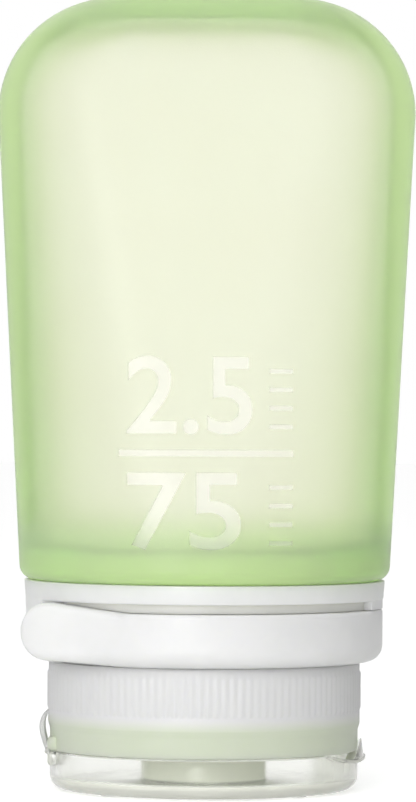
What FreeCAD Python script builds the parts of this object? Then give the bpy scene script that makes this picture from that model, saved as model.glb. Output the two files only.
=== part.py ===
"""Travel squeeze bottle of soft silicone, standing on its flip lid.

Frame: millimetres, +Z up, origin at the centre of the lid's flat face, on which the bottle stands.
The front is -Y, the lid's hinge is on -X and its thumb lip on +X.
"""
import math
import os

import FreeCAD
import Part
from FreeCAD import Vector

# Clearances between pieces
FIT = 0.05            # pieces that are pressed or clamped together
RUNNING = 0.06        # round the pin of the hang loop and the webs of the lid's hinge
FREE = 0.3            # pieces that move past each other
LID_GAP = 0.15        # lid's rim under the cap

# Neck and thread, from the bore outwards
NECK_BORE_RADIUS = 13.0
NECK_WALL = 2.0
SLEEVE_WALL = 1.3
THREAD_HEIGHT = 0.9
THREAD_PITCH = 3.0
THREAD_ROOT_WIDTH = 1.0
THREAD_CREST_WIDTH = 0.6
THREAD_SINK = 0.25    # depth to which a ridge is rooted in its wall
THREAD_CLEARANCE = 0.35
LIP_THICKNESS = 1.7
WASHER_THICKNESS = 0.8
WASHER_LAND = 3.4     # radial width of the sealing washer

# Screw cap
CAP_HEIGHT = 10.6
CAP_WALL = 1.3
CAP_DECK = 1.4
CAP_RIM_HEIGHT = 0.9  # plain rim above the ribs
GRIP_HEIGHT = 4.8     # length of the ribs
GRIP_STEP = 0.2       # ribs' root outside the plain wall
RIB_HEIGHT = 0.35
RIB_COUNT = 120
RIB_CREST_SHARE = 0.4  # share of a rib's pitch that its crest takes

# Nozzle, valve and retainer
NOZZLE_RADIUS = 6.8
NOZZLE_WALL = 0.9
NOZZLE_FLOOR = 1.0
ORIFICE_RADIUS = 3.2
VALVE_FLANGE = 1.1
VALVE_FILM = 0.5
VALVE_DISH = 0.9      # depth by which the valve's film is dished inwards
SLIT_LENGTH = 3.6
SLIT_WIDTH = 0.16
RETAINER_HEIGHT = 1.5
RETAINER_BORE_RADIUS = 3.9

# Flip lid
LID_HEIGHT = 4.85
LID_PLATE = 1.3
LID_WALL = 1.1
LID_OVERHANG = 0.05   # lid outside the cap's plain wall
LID_EDGE_RADIUS = 1.7
PIP_COUNT = 4         # low pips that the lid stands on
PIP_RADIUS = 1.2
PIP_HEIGHT = 0.15
PIP_CIRCLE_RADIUS = 15.8
LID_SKIRT_WALL = 0.5
LID_SKIRT_CLEARANCE = 0.4
LID_SKIRT_HEIGHT = 3.0
LID_PLUG_RADIUS = 2.6
LID_PLUG_HEIGHT = 1.1
LIP_REACH = 1.2       # thumb lip outside the lid
LIP_HALF_ANGLE = 37.0
LIP_DEPTH = 1.9       # thumb lip below the lid's rim
FIN_HEIGHT = 1.45     # upturned fin above the lid's rim
FIN_HALF_WIDTH = 7.0
FIN_LEAN = 0.4        # by which the fin's outer face leans in at its top

# Lid's hinge: two webs on one axis, and a bowed strap between them
HINGE_OFFSET = 0.15   # axis outside the cap's plain wall
WEB_RADIUS = 0.35
WEB_LENGTH = 2.6
WEB_CENTRE = 4.7      # from the middle of the hinge to the middle of a web
LUG_HEIGHT = 1.7
STRAP_WIDTH = 5.0
STRAP_THICKNESS = 0.45
STRAP_RISE = 4.9      # strap's root above the hinge axis
STRAP_DROP = 1.9      # strap's end below the hinge axis
STRAP_BOW = 1.1       # strap's middle outside the cap's plain wall

# Collar and hang loop
COLLAR_TUBE_WALL = 1.45
COLLAR_PROUD = 0.25   # collar's ring outside the loop
COLLAR_RING_HEIGHT = 2.25
COLLAR_FLANGE_SEAT = 2.0  # sleeve's flange outside its barrel
FLANGE_HEIGHT = 1.25
LOOP_THICKNESS = 2.55
LOOP_HEIGHT = 6.45
LOOP_SLOT = 1.15      # from the loop up to the collar's ring
SLOT_DEPTH = 1.3      # back of the slot behind the loop's outer face
LOOP_EDGE_RADIUS = 2.0
TAB_ANGLE = -115.0    # where the loop leaves the collar in a straight tab
TAB_LENGTH = 11.1     # from there to the centre of the tab's round end
TAB_RISE = 0.55       # tab's round end above the loop's middle
TAB_RADIUS = 3.35
TAB_EDGE_RADIUS = 0.8
WALL_END_ANGLE = 206.0  # collar's fixed wall runs from the pivot to here
PIVOT_ANGLE = 23.0
SLOT_END_ANGLE = -22.0  # the open slot over the loop ends here, at the shoulder beside the pivot
PIN_RADIUS = 0.8
PIN_SEAT = 1.0        # depth of the pin in the collar's ring and in its lug
EYE_RADIUS = 1.45
LUG_THICKNESS = 1.3
PIVOT_ROOM = 2.1      # radius of the collar's pocket round the loop's eye

# Silicone body
BODY_HEIGHT = 71.2
BODY_WALL = 2.8
BODY_FLOOR = 3.3      # base end
SHOULDER = 3.9        # neck end
SHOULDER_OVERHANG = 0.5  # body outside the collar's ring
SHOULDER_FLAT = 2.0   # straight stretch of each side of the nearly round shoulder
SHOULDER_EDGE = 1.7
BASE_WIDTH = 51.2
BASE_DEPTH = 24.0
BASE_PLAN_RADIUS = 11.0
BASE_CORNER = 14.1    # rounding of the base seen from the front
BASE_EDGE = 6.0       # rounding of the base seen from the side
EDGE_STEPS = 6        # sections that carry each rounding

# Radii, from the bore outwards
neck_radius = NECK_BORE_RADIUS + NECK_WALL
sleeve_bore = neck_radius + FIT
sleeve_radius = sleeve_bore + SLEEVE_WALL
lip_radius = sleeve_radius - FIT
thread_radius = sleeve_radius + THREAD_HEIGHT
cap_bore = thread_radius + THREAD_CLEARANCE
cap_radius = cap_bore + CAP_WALL
rib_root = cap_radius + GRIP_STEP
rib_crest = rib_root + RIB_HEIGHT
lid_radius = cap_radius + LID_OVERHANG
barrel_radius = cap_bore - FIT
collar_bore = barrel_radius + FIT
flange_radius = barrel_radius + COLLAR_FLANGE_SEAT
collar_tube_radius = collar_bore + COLLAR_TUBE_WALL
loop_inner = collar_tube_radius + FREE
loop_outer = loop_inner + LOOP_THICKNESS
slot_radius = loop_outer - SLOT_DEPTH
collar_radius = loop_outer + COLLAR_PROUD
shoulder_width = 2 * (collar_radius + SHOULDER_OVERHANG)

# Heights, from the lid's flat face upwards
cap_bottom = LID_HEIGHT + LID_GAP
deck_top = cap_bottom + CAP_DECK
washer_bottom = deck_top + FIT
lip_bottom = washer_bottom + WASHER_THICKNESS + FIT
lip_top = lip_bottom + LIP_THICKNESS
sleeve_bottom = lip_top + FIT
sleeve_ridge_bottom = sleeve_bottom + THREAD_ROOT_WIDTH
cap_top = cap_bottom + CAP_HEIGHT
grip_top = cap_top - CAP_RIM_HEIGHT
grip_bottom = grip_top - GRIP_HEIGHT
barrel_bottom = cap_top + FREE
collar_bottom = barrel_bottom
loop_top = collar_bottom + LOOP_HEIGHT
ring_bottom = loop_top + LOOP_SLOT
ring_top = ring_bottom + COLLAR_RING_HEIGHT
flange_bottom = ring_top - FLANGE_HEIGHT
body_bottom = ring_top + FIT
body_top = body_bottom + BODY_HEIGHT
nozzle_bottom = LID_PLATE + FREE

# Lid hinge axis and loop pivot
hinge_x = -(cap_radius + HINGE_OFFSET)
hinge_z = cap_bottom
pivot_radius = (loop_inner + loop_outer) / 2
pivot = Vector(
    pivot_radius * math.cos(math.radians(PIVOT_ANGLE)),
    pivot_radius * math.sin(math.radians(PIVOT_ANGLE)),
    0,
)

AXIS = Vector(0, 0, 1)
OVER = 1.0  # by which a cutting shape runs past what it cuts


def disc(radius, bottom, top, at=Vector(0, 0, 0)):
    """Upright cylinder between two heights."""
    return Part.makeCylinder(radius, top - bottom, Vector(at.x, at.y, bottom), AXIS)


def tube(inner, outer, bottom, top, at=Vector(0, 0, 0)):
    """Upright ring between two heights."""
    return disc(outer, bottom, top, at).cut(disc(inner, bottom - OVER, top + OVER, at))


def turned(profile, start=0.0, sweep=360.0):
    """Solid turned about the Z axis from a closed profile of (radius, height) edges."""
    wire = Part.Wire(Part.__sortEdges__(profile))
    face = Part.Face(wire)
    face.rotate(Vector(0, 0, 0), AXIS, start)
    return face.revolve(Vector(0, 0, 0), AXIS, sweep)


def line(a, b):
    """Straight profile edge between two (radius, height) points."""
    return Part.LineSegment(Vector(a[0], 0, a[1]), Vector(b[0], 0, b[1])).toShape()


def outline(*points):
    """Closed profile of straight edges through (radius, height) points."""
    return [line(a, b) for a, b in zip(points, points[1:] + points[:1])]


def corner(centre, radius, start, end):
    """Round profile edge about a (radius, height) centre, between two angles in degrees."""
    circle = Part.Circle(Vector(centre[0], 0, centre[1]), Vector(0, -1, 0), radius)
    circle.XAxis = Vector(1, 0, 0)
    return circle.toShape(math.radians(start), math.radians(end))


def helix_ridge(base_radius, crest_radius, bottom, top):
    """Thread ridge that climbs between two heights of its middle, rooted in the wall at base_radius."""
    outward = math.copysign(1.0, crest_radius - base_radius)
    root = base_radius - outward * THREAD_SINK
    half_root = THREAD_ROOT_WIDTH / 2
    half_crest = THREAD_CREST_WIDTH / 2
    spine = Part.Wire(Part.makeHelix(THREAD_PITCH, top - bottom, base_radius).Edges)
    corners = [
        Vector(root, 0, -half_root),
        Vector(crest_radius, 0, -half_crest),
        Vector(crest_radius, 0, half_crest),
        Vector(root, 0, half_root),
    ]
    section = Part.makePolygon(corners + corners[:1])
    shell = Part.BRepOffsetAPI.MakePipeShell(spine)
    shell.setFrenetMode(True)
    shell.add(section)
    shell.build()
    shell.makeSolid()
    ridge = shell.shape()
    ridge.translate(Vector(0, 0, bottom))
    return ridge


def rounded_section(width, depth, radius, height):
    """Rectangle with round corners, four sides and four arcs, at a height."""
    x, y = width / 2, depth / 2
    a, b = x - radius, y - radius
    reach = radius * math.sqrt(0.5)
    sides = [
        ((-a, -y), (a, -y)),
        ((x, -b), (x, b)),
        ((a, y), (-a, y)),
        ((-x, b), (-x, -b)),
    ]
    middles = [
        (a + reach, -b - reach),
        (a + reach, b + reach),
        (-a - reach, b + reach),
        (-a - reach, -b - reach),
    ]
    edges = []
    for index, (first, last) in enumerate(sides):
        following = sides[(index + 1) % len(sides)][0]
        edges.append(Part.LineSegment(Vector(*first, height), Vector(*last, height)).toShape())
        arc = Part.Arc(Vector(*last, height), Vector(*middles[index], height), Vector(*following, height))
        edges.append(arc.toShape())
    return Part.Wire(edges)


def rounding_inset(height_from_end, radius):
    """How far a rounded edge draws in at a height from its end."""
    if height_from_end >= radius:
        return 0.0
    return radius - math.sqrt(radius ** 2 - (radius - height_from_end) ** 2)


def squeeze_form(bottom, top, inset, foot_radius, corner_radius, edge_radius):
    """Body's form, drawn in by inset: round at the neck end, broad and flat at the base end."""
    straight_top = top - corner_radius
    heights = [bottom + foot_radius * (1 - math.cos(math.pi / 2 * i / EDGE_STEPS))
               for i in range(EDGE_STEPS + 1)]
    heights += [straight_top + corner_radius * math.sin(math.pi / 2 * i / (2 * EDGE_STEPS))
                for i in range(2 * EDGE_STEPS + 1)]
    sections = []
    for height in heights:
        share = (height - body_bottom) / BODY_HEIGHT
        spread = min(1.0, (height - body_bottom) / (BODY_HEIGHT - BASE_CORNER))
        foot = rounding_inset(height - bottom, foot_radius)
        width = shoulder_width + spread * (BASE_WIDTH - shoulder_width) - 2 * (inset + foot)
        depth = shoulder_width + share * (BASE_DEPTH - shoulder_width) - 2 * (inset + foot)
        shoulder_plan = (shoulder_width - SHOULDER_FLAT) / 2
        plan = shoulder_plan + share * (BASE_PLAN_RADIUS - shoulder_plan) - inset - foot
        side_in = rounding_inset(top - height, corner_radius)
        face_in = rounding_inset(top - height, edge_radius)
        sections.append(rounded_section(width - 2 * side_in, depth - 2 * face_in, plan - face_in, height))
    return Part.makeLoft(sections, True, True)


def make_bottle_body():
    """Soft body with its shoulder, its neck inside the sleeve and the lip that folds over the sleeve."""
    outer = squeeze_form(body_bottom, body_top, 0.0, SHOULDER_EDGE, BASE_CORNER, BASE_EDGE)
    neck = disc(neck_radius, lip_bottom, body_bottom + SHOULDER / 2)
    lip = disc(lip_radius, lip_bottom, lip_top)
    bore = disc(NECK_BORE_RADIUS, lip_bottom - OVER, body_bottom + SHOULDER + OVER)
    return outer.fuse([neck, lip]).cut([make_cavity(), bore]).removeSplitter()


def make_cavity():
    """Room inside the body, above its shoulder."""
    return squeeze_form(
        body_bottom + SHOULDER,
        body_top - BODY_FLOOR,
        BODY_WALL,
        SHOULDER_EDGE,
        BASE_CORNER - BODY_WALL,
        BASE_EDGE - BODY_WALL,
    )


def make_neck_sleeve():
    """Stiff threaded sleeve round the silicone neck, with a flange under the shoulder."""
    body = turned(outline(
        (sleeve_bore, sleeve_bottom),
        (sleeve_radius, sleeve_bottom),
        (sleeve_radius, barrel_bottom),
        (barrel_radius, barrel_bottom),
        (barrel_radius, flange_bottom),
        (flange_radius, flange_bottom),
        (flange_radius, ring_top),
        (sleeve_bore, ring_top),
    ))
    ridge_top = barrel_bottom - THREAD_ROOT_WIDTH
    return body.fuse(helix_ridge(sleeve_radius, thread_radius, sleeve_ridge_bottom, ridge_top))


def make_collar():
    """White collar: ring under the shoulder, inner tube, and the fixed wall behind the hang loop."""
    ring = tube(collar_bore, collar_radius, ring_bottom, ring_top)
    inner = tube(collar_bore, collar_tube_radius, collar_bottom, ring_bottom)
    wall = turned(
        outline(
            (collar_tube_radius - FIT, collar_bottom),
            (loop_outer, collar_bottom),
            (collar_radius, ring_bottom),
            (collar_tube_radius - FIT, ring_bottom),
        ),
        PIVOT_ANGLE,
        WALL_END_ANGLE - PIVOT_ANGLE,
    )
    slot_back = over_the_loop(slot_radius, TAB_ANGLE)
    shoulder = over_the_loop(loop_outer, SLOT_END_ANGLE)
    lug = disc(EYE_RADIUS, collar_bottom, collar_bottom + LUG_THICKNESS, pivot)
    seat = disc(flange_radius + FIT, flange_bottom - FIT, ring_top + OVER)
    pocket = disc(PIVOT_ROOM, collar_bottom + LUG_THICKNESS, loop_top + FREE, pivot)
    pocket = pocket.cut(disc(collar_tube_radius, collar_bottom, ring_bottom))
    collar = ring.fuse([inner, slot_back, wall, shoulder, lug])
    return collar.cut([seat, pocket, loop_pin_shape(FIT)]).removeSplitter()


def over_the_loop(radius, start_angle):
    """Rim of the collar over the loop, out to a radius, from an angle to the pivot."""
    return turned(
        outline(
            (collar_tube_radius - FIT, loop_top + FREE),
            (radius, loop_top + FREE),
            (radius, ring_bottom),
            (collar_tube_radius - FIT, ring_bottom),
        ),
        start_angle,
        PIVOT_ANGLE - start_angle,
    )


def loop_pin_shape(clearance):
    """Pin of the hang loop, or its hole with a clearance."""
    bottom = collar_bottom + LUG_THICKNESS - PIN_SEAT - clearance
    return disc(PIN_RADIUS + clearance, bottom, ring_bottom + PIN_SEAT + clearance, pivot)


def make_hang_loop():
    """White band that lies against the collar and swings out on its pin, with a straight finger tab."""
    rim = loop_outer - LOOP_EDGE_RADIUS
    band = turned(
        [
            line((loop_inner, collar_bottom), (rim, collar_bottom)),
            corner((rim, collar_bottom + LOOP_EDGE_RADIUS), LOOP_EDGE_RADIUS, -90, 0),
            line((loop_outer, collar_bottom + LOOP_EDGE_RADIUS), (loop_outer, loop_top)),
            line((loop_outer, loop_top), (loop_inner, loop_top)),
            line((loop_inner, loop_top), (loop_inner, collar_bottom)),
        ],
        TAB_ANGLE,
        PIVOT_ANGLE - TAB_ANGLE,
    )
    eye_bottom = collar_bottom + LUG_THICKNESS + FREE
    eye = disc(EYE_RADIUS, eye_bottom, loop_top, pivot)
    lug_room = disc(EYE_RADIUS + FREE, collar_bottom - OVER, eye_bottom, pivot)
    pin_hole = disc(PIN_RADIUS + RUNNING, collar_bottom - OVER, ring_top, pivot)
    return band.fuse([make_tab(), eye]).cut([lug_room, pin_hole]).removeSplitter()


def make_tab():
    """Straight round-ended tab, tangent to the loop at TAB_ANGLE."""
    centre_height = (collar_bottom + loop_top) / 2 + TAB_RISE
    flat = Vector(0, loop_inner, 0)
    points = [
        Vector(0, 0, collar_bottom),
        Vector(TAB_LENGTH, 0, centre_height - TAB_RADIUS),
        Vector(TAB_LENGTH + TAB_RADIUS, 0, centre_height),
        Vector(TAB_LENGTH, 0, centre_height + TAB_RADIUS),
        Vector(0, 0, loop_top),
    ]
    points = [point + flat for point in points]
    edges = [
        Part.LineSegment(points[0], points[1]).toShape(),
        Part.Arc(points[1], points[2], points[3]).toShape(),
        Part.LineSegment(points[3], points[4]).toShape(),
        Part.LineSegment(points[4], points[0]).toShape(),
    ]
    plate = Part.Face(Part.Wire(edges)).extrude(Vector(0, LOOP_THICKNESS, 0))
    outer_edges = [
        edge for edge in plate.Edges
        if all(abs(vertex.Y - loop_outer) < FIT for vertex in edge.Vertexes)
        and max(vertex.X for vertex in edge.Vertexes) > FIT
    ]
    plate = plate.makeFillet(TAB_EDGE_RADIUS, outer_edges)
    plate.rotate(Vector(0, 0, 0), AXIS, TAB_ANGLE - 90)
    return plate


def make_loop_pin():
    """Plain pin on which the hang loop swings."""
    return loop_pin_shape(0.0)


def make_screw_cap():
    """Cap with its deck, nozzle, ribbed grip, inside thread and the lugs of the lid's hinge."""
    shell = turned(outline(
        (NOZZLE_RADIUS - NOZZLE_WALL, cap_bottom),
        (cap_radius, cap_bottom),
        (cap_radius, grip_bottom),
        (rib_root, grip_bottom),
        (rib_root, cap_top),
        (cap_bore, cap_top),
        (cap_bore, deck_top),
        (NOZZLE_RADIUS - NOZZLE_WALL, deck_top),
    ))
    nozzle = turned(outline(
        (ORIFICE_RADIUS, nozzle_bottom),
        (NOZZLE_RADIUS, nozzle_bottom),
        (NOZZLE_RADIUS, deck_top),
        (NOZZLE_RADIUS - NOZZLE_WALL, deck_top),
        (NOZZLE_RADIUS - NOZZLE_WALL, nozzle_bottom + NOZZLE_FLOOR),
        (ORIFICE_RADIUS, nozzle_bottom + NOZZLE_FLOOR),
    ))
    ridge_bottom = sleeve_ridge_bottom + THREAD_ROOT_WIDTH + FREE
    ridge_crest = sleeve_radius + THREAD_CLEARANCE
    ridge = helix_ridge(cap_bore, ridge_crest, ridge_bottom, cap_top - THREAD_ROOT_WIDTH)
    lugs = [hinge_lug(side, cap_bottom, cap_bottom + LUG_HEIGHT) for side in (-1, 1)]
    inside = disc(cap_bore, deck_top, cap_top)
    lugs = [lug.cut([inside, web_shape(side, 0.0)]) for lug, side in zip(lugs, (-1, 1))]
    return shell.fuse([nozzle, make_grip(), ridge, *lugs]).removeSplitter()


def make_grip():
    """Band of fine upright ribs round the cap."""
    pitch = 2 * math.pi / RIB_COUNT
    half_crest = pitch * RIB_CREST_SHARE / 2
    half_root = pitch * (1 - RIB_CREST_SHARE) / 2
    corners = []
    for index in range(RIB_COUNT):
        middle = index * pitch
        for radius, angle in (
            (rib_root, middle - half_root),
            (rib_crest, middle - half_crest),
            (rib_crest, middle + half_crest),
            (rib_root, middle + half_root),
        ):
            corners.append(Vector(radius * math.cos(angle), radius * math.sin(angle), grip_bottom))
    band = Part.Face(Part.makePolygon(corners + corners[:1])).extrude(Vector(0, 0, GRIP_HEIGHT))
    return band.cut(disc(rib_root - GRIP_STEP, grip_bottom - OVER, grip_top + OVER))


def hinge_lug(side, bottom, top):
    """Block from the wall out to the hinge axis, at one end of the hinge."""
    inner_x = -math.sqrt(cap_radius ** 2 - (WEB_CENTRE + WEB_LENGTH / 2) ** 2) + CAP_WALL / 2
    corner_point = Vector(hinge_x, side * WEB_CENTRE - WEB_LENGTH / 2, bottom)
    return Part.makeBox(inner_x - hinge_x, WEB_LENGTH, top - bottom, corner_point)


def web_shape(side, clearance):
    """Round web on the hinge axis, or its groove with a clearance."""
    start = Vector(hinge_x, side * WEB_CENTRE - WEB_LENGTH / 2 - clearance, hinge_z)
    return Part.makeCylinder(WEB_RADIUS + clearance, WEB_LENGTH + 2 * clearance, start, Vector(0, 1, 0))


def make_film_hinges():
    """Two thin webs that carry the lid, one at each end of the hinge."""
    return Part.Compound([web_shape(side, 0.0) for side in (-1, 1)])


def make_hinge_strap():
    """Thin bowed strap from the cap's wall to the lid's wall, which snaps the lid open and shut."""
    root_x = -cap_radius
    bow_x = -(cap_radius + STRAP_BOW)
    low, high = hinge_z - STRAP_DROP, hinge_z + STRAP_RISE
    middle = (low + high) / 2
    outer = Part.Arc(Vector(root_x, 0, low), Vector(bow_x, 0, middle), Vector(root_x, 0, high))
    inner = Part.Arc(
        Vector(root_x + STRAP_THICKNESS, 0, low),
        Vector(bow_x + STRAP_THICKNESS, 0, middle),
        Vector(root_x + STRAP_THICKNESS, 0, high),
    )
    edges = [
        outer.toShape(),
        line((root_x, high), (root_x + STRAP_THICKNESS, high)),
        inner.toShape(),
        line((root_x + STRAP_THICKNESS, low), (root_x, low)),
    ]
    face = Part.Face(Part.Wire(Part.__sortEdges__(edges)))
    strap = face.extrude(Vector(0, STRAP_WIDTH, 0))
    strap.translate(Vector(0, -STRAP_WIDTH / 2, 0))
    cap_wall = disc(cap_radius, cap_bottom, cap_top)
    lid_wall = disc(lid_radius + FIT, -OVER, cap_bottom)
    return strap.cut([cap_wall, lid_wall])


def make_flip_lid():
    """Clear lid with its sealing skirt, its plug, a thumb lip opposite the hinge and the hinge's lugs."""
    rim = lid_radius - LID_EDGE_RADIUS
    edge_height = PIP_HEIGHT + LID_EDGE_RADIUS
    cup = turned([
        line((0, PIP_HEIGHT), (rim, PIP_HEIGHT)),
        corner((rim, edge_height), LID_EDGE_RADIUS, -90, 0),
        line((lid_radius, edge_height), (lid_radius, LID_HEIGHT)),
        line((lid_radius, LID_HEIGHT), (lid_radius - LID_WALL, LID_HEIGHT)),
        line((lid_radius - LID_WALL, LID_HEIGHT), (lid_radius - LID_WALL, LID_PLATE)),
        line((lid_radius - LID_WALL, LID_PLATE), (0, LID_PLATE)),
        line((0, LID_PLATE), (0, PIP_HEIGHT)),
    ])
    pips = [disc(PIP_RADIUS, 0, LID_PLATE, pip_place(index)) for index in range(PIP_COUNT)]
    skirt_bore = NOZZLE_RADIUS + LID_SKIRT_CLEARANCE
    skirt = tube(skirt_bore, skirt_bore + LID_SKIRT_WALL, LID_PLATE - FIT, LID_PLATE + LID_SKIRT_HEIGHT)
    plug = disc(LID_PLUG_RADIUS, LID_PLATE - FIT, LID_PLATE + LID_PLUG_HEIGHT)
    lugs = [hinge_lug(side, LID_HEIGHT - LUG_HEIGHT, LID_HEIGHT) for side in (-1, 1)]
    inside = disc(lid_radius - LID_WALL, LID_PLATE, LID_HEIGHT)
    lugs = [lug.cut([inside, web_shape(side, RUNNING)]) for lug, side in zip(lugs, (-1, 1))]
    return cup.fuse([skirt, plug, make_thumb_lip(), *pips, *lugs]).removeSplitter()


def pip_place(index):
    """Centre of one of the pips, which lie between the lid's main directions."""
    angle = 2 * math.pi * (index + 0.5) / PIP_COUNT
    return PIP_CIRCLE_RADIUS * Vector(math.cos(angle), math.sin(angle), 0)


def make_thumb_lip():
    """Crescent ledge on the lid's rim, with an arched fin turned up past the cap's wall."""
    end_x = lid_radius * math.cos(math.radians(LIP_HALF_ANGLE))
    end_y = lid_radius * math.sin(math.radians(LIP_HALF_ANGLE))
    tip_x = lid_radius + LIP_REACH
    centre_x = (tip_x ** 2 - end_x ** 2 - end_y ** 2) / (2 * (tip_x - end_x))
    radius = tip_x - centre_x
    at = Vector(centre_x, 0, 0)
    ledge = disc(radius, LID_HEIGHT - LIP_DEPTH, LID_HEIGHT, at)
    ledge = ledge.cut(disc(lid_radius - LID_WALL / 2, 0, LID_HEIGHT + OVER))
    fin_base = Vector(centre_x, 0, LID_HEIGHT)
    fin = Part.makeCone(radius, radius - FIN_LEAN, FIN_HEIGHT, fin_base, AXIS)
    arch_radius = (FIN_HALF_WIDTH ** 2 + FIN_HEIGHT ** 2) / (2 * FIN_HEIGHT)
    arch_base = Vector(0, 0, LID_HEIGHT + FIN_HEIGHT - arch_radius)
    arch = Part.makeCylinder(arch_radius, tip_x + OVER, arch_base, Vector(1, 0, 0))
    fin = fin.cut(disc(cap_radius + FREE, 0, LID_HEIGHT + FIN_HEIGHT + OVER)).common(arch)
    front = Part.makeBox(tip_x, 2 * end_y, body_top, Vector(end_x, -end_y, 0))
    return ledge.fuse(fin).common(front)


def make_slit_valve():
    """Silicone valve clamped in the nozzle: flange, dished film over the orifice, and a cross slit."""
    flange_bottom_z = nozzle_bottom + NOZZLE_FLOOR + FIT
    flange_top = flange_bottom_z + VALVE_FLANGE
    flange_rim = NOZZLE_RADIUS - NOZZLE_WALL - FIT
    shape = turned(outline(
        (0, flange_bottom_z + VALVE_DISH - VALVE_FILM),
        (ORIFICE_RADIUS, flange_bottom_z),
        (flange_rim, flange_bottom_z),
        (flange_rim, flange_top),
        (ORIFICE_RADIUS, flange_top),
        (0, flange_bottom_z + VALVE_DISH),
    ))
    slits = [
        Part.makeBox(length, width, 2 * flange_top, Vector(-length / 2, -width / 2, 0))
        for length, width in ((SLIT_LENGTH, SLIT_WIDTH), (SLIT_WIDTH, SLIT_LENGTH))
    ]
    return shape.cut(slits)


def make_valve_retainer():
    """Ring pressed into the nozzle behind the valve's flange."""
    bottom = nozzle_bottom + NOZZLE_FLOOR + FIT + VALVE_FLANGE + FIT
    return tube(RETAINER_BORE_RADIUS, NOZZLE_RADIUS - NOZZLE_WALL - FIT, bottom, bottom + RETAINER_HEIGHT)


def make_sealing_washer():
    """Flat washer between the cap's deck and the lip of the neck."""
    return tube(lip_radius - WASHER_LAND, lip_radius, washer_bottom, washer_bottom + WASHER_THICKNESS)


PIECES = {
    "bottle_body": make_bottle_body,
    "neck_sleeve": make_neck_sleeve,
    "collar": make_collar,
    "hang_loop": make_hang_loop,
    "loop_pin": make_loop_pin,
    "screw_cap": make_screw_cap,
    "film_hinges": make_film_hinges,
    "hinge_strap": make_hinge_strap,
    "flip_lid": make_flip_lid,
    "slit_valve": make_slit_valve,
    "valve_retainer": make_valve_retainer,
    "sealing_washer": make_sealing_washer,
}

os.makedirs("parts", exist_ok=True)
for name, make in PIECES.items():
    piece = make()
    piece.exportStep(f"parts/{name}.step")
    print(f"{name}: {len(piece.Solids)} solid(s), {piece.Volume:.1f} mm3, valid {piece.isValid()}")
neck_room = math.pi * NECK_BORE_RADIUS ** 2 * (body_bottom + SHOULDER - lip_bottom)
print(f"room inside: {(make_cavity().Volume + neck_room) / 1000:.1f} ml")
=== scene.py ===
"""Dresses the travel squeeze bottle: soft body, white collar and loop, ribbed cap and clear lid."""
import logging
import math
from dataclasses import dataclass
from enum import Enum
from typing import Callable, Sequence

import bmesh
import bpy
from mathutils import Matrix, Vector
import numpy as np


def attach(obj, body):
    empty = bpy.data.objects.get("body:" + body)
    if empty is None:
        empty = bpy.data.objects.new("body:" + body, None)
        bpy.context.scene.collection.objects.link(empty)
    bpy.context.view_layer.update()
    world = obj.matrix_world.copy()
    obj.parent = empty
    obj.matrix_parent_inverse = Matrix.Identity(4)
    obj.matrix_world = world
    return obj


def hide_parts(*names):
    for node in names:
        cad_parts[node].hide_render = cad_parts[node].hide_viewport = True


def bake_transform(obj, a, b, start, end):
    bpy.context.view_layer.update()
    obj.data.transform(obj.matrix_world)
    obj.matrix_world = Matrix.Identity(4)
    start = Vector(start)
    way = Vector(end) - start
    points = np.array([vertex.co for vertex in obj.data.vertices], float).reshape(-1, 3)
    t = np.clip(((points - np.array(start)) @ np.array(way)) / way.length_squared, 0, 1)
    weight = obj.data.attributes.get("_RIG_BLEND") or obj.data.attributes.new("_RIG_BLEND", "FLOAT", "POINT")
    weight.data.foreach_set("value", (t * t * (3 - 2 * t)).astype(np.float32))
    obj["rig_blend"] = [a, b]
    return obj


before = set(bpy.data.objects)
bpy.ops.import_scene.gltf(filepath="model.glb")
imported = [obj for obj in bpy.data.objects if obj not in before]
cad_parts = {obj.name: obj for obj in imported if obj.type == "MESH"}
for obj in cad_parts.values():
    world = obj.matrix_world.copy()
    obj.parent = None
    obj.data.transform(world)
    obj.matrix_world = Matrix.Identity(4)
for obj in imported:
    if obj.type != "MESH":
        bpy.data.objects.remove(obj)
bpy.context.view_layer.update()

LOG = logging.getLogger("bottle")
MM = 0.001
# Millimetres by which solids overlap, so that no two faces lie in one plane.
HAIR = 0.01
TINY = 1e-9
Point = tuple[float, float]
Colour = tuple[float, float, float]
Section = Callable[[float], Vector]


class Body(Enum):
    """The moving bodies that the modelled pieces ride on."""

    BOTTLE = "bottle"
    LOOP = "loop"
    CAP = "cap"
    LID = "lid"


class Slot(Enum):
    """The record's material slots, named with each modelled piece."""

    SILICONE = "silicone"
    WHITE = "white_plastic"
    FROSTED = "frosted_plastic"
    CLEAR = "clear_plastic"


class Cut(Enum):
    """How one solid is worked with another."""

    JOIN = "UNION"
    CARVE = "DIFFERENCE"


@dataclass(frozen=True)
class Skin:
    """Roughness that wanders: its waves to the metre and its limits."""

    grain: float
    smoothest: float
    roughest: float


@dataclass(frozen=True)
class Relief:
    """Fine relief: its waves to the metre, its height in metres and the share that shows."""

    grain: float
    height: float
    share: float


@dataclass(frozen=True)
class Glow:
    """Light inside a plastic: its share, its depth in metres and its reach in each colour."""

    share: float
    depth: float
    reach: Colour


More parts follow.
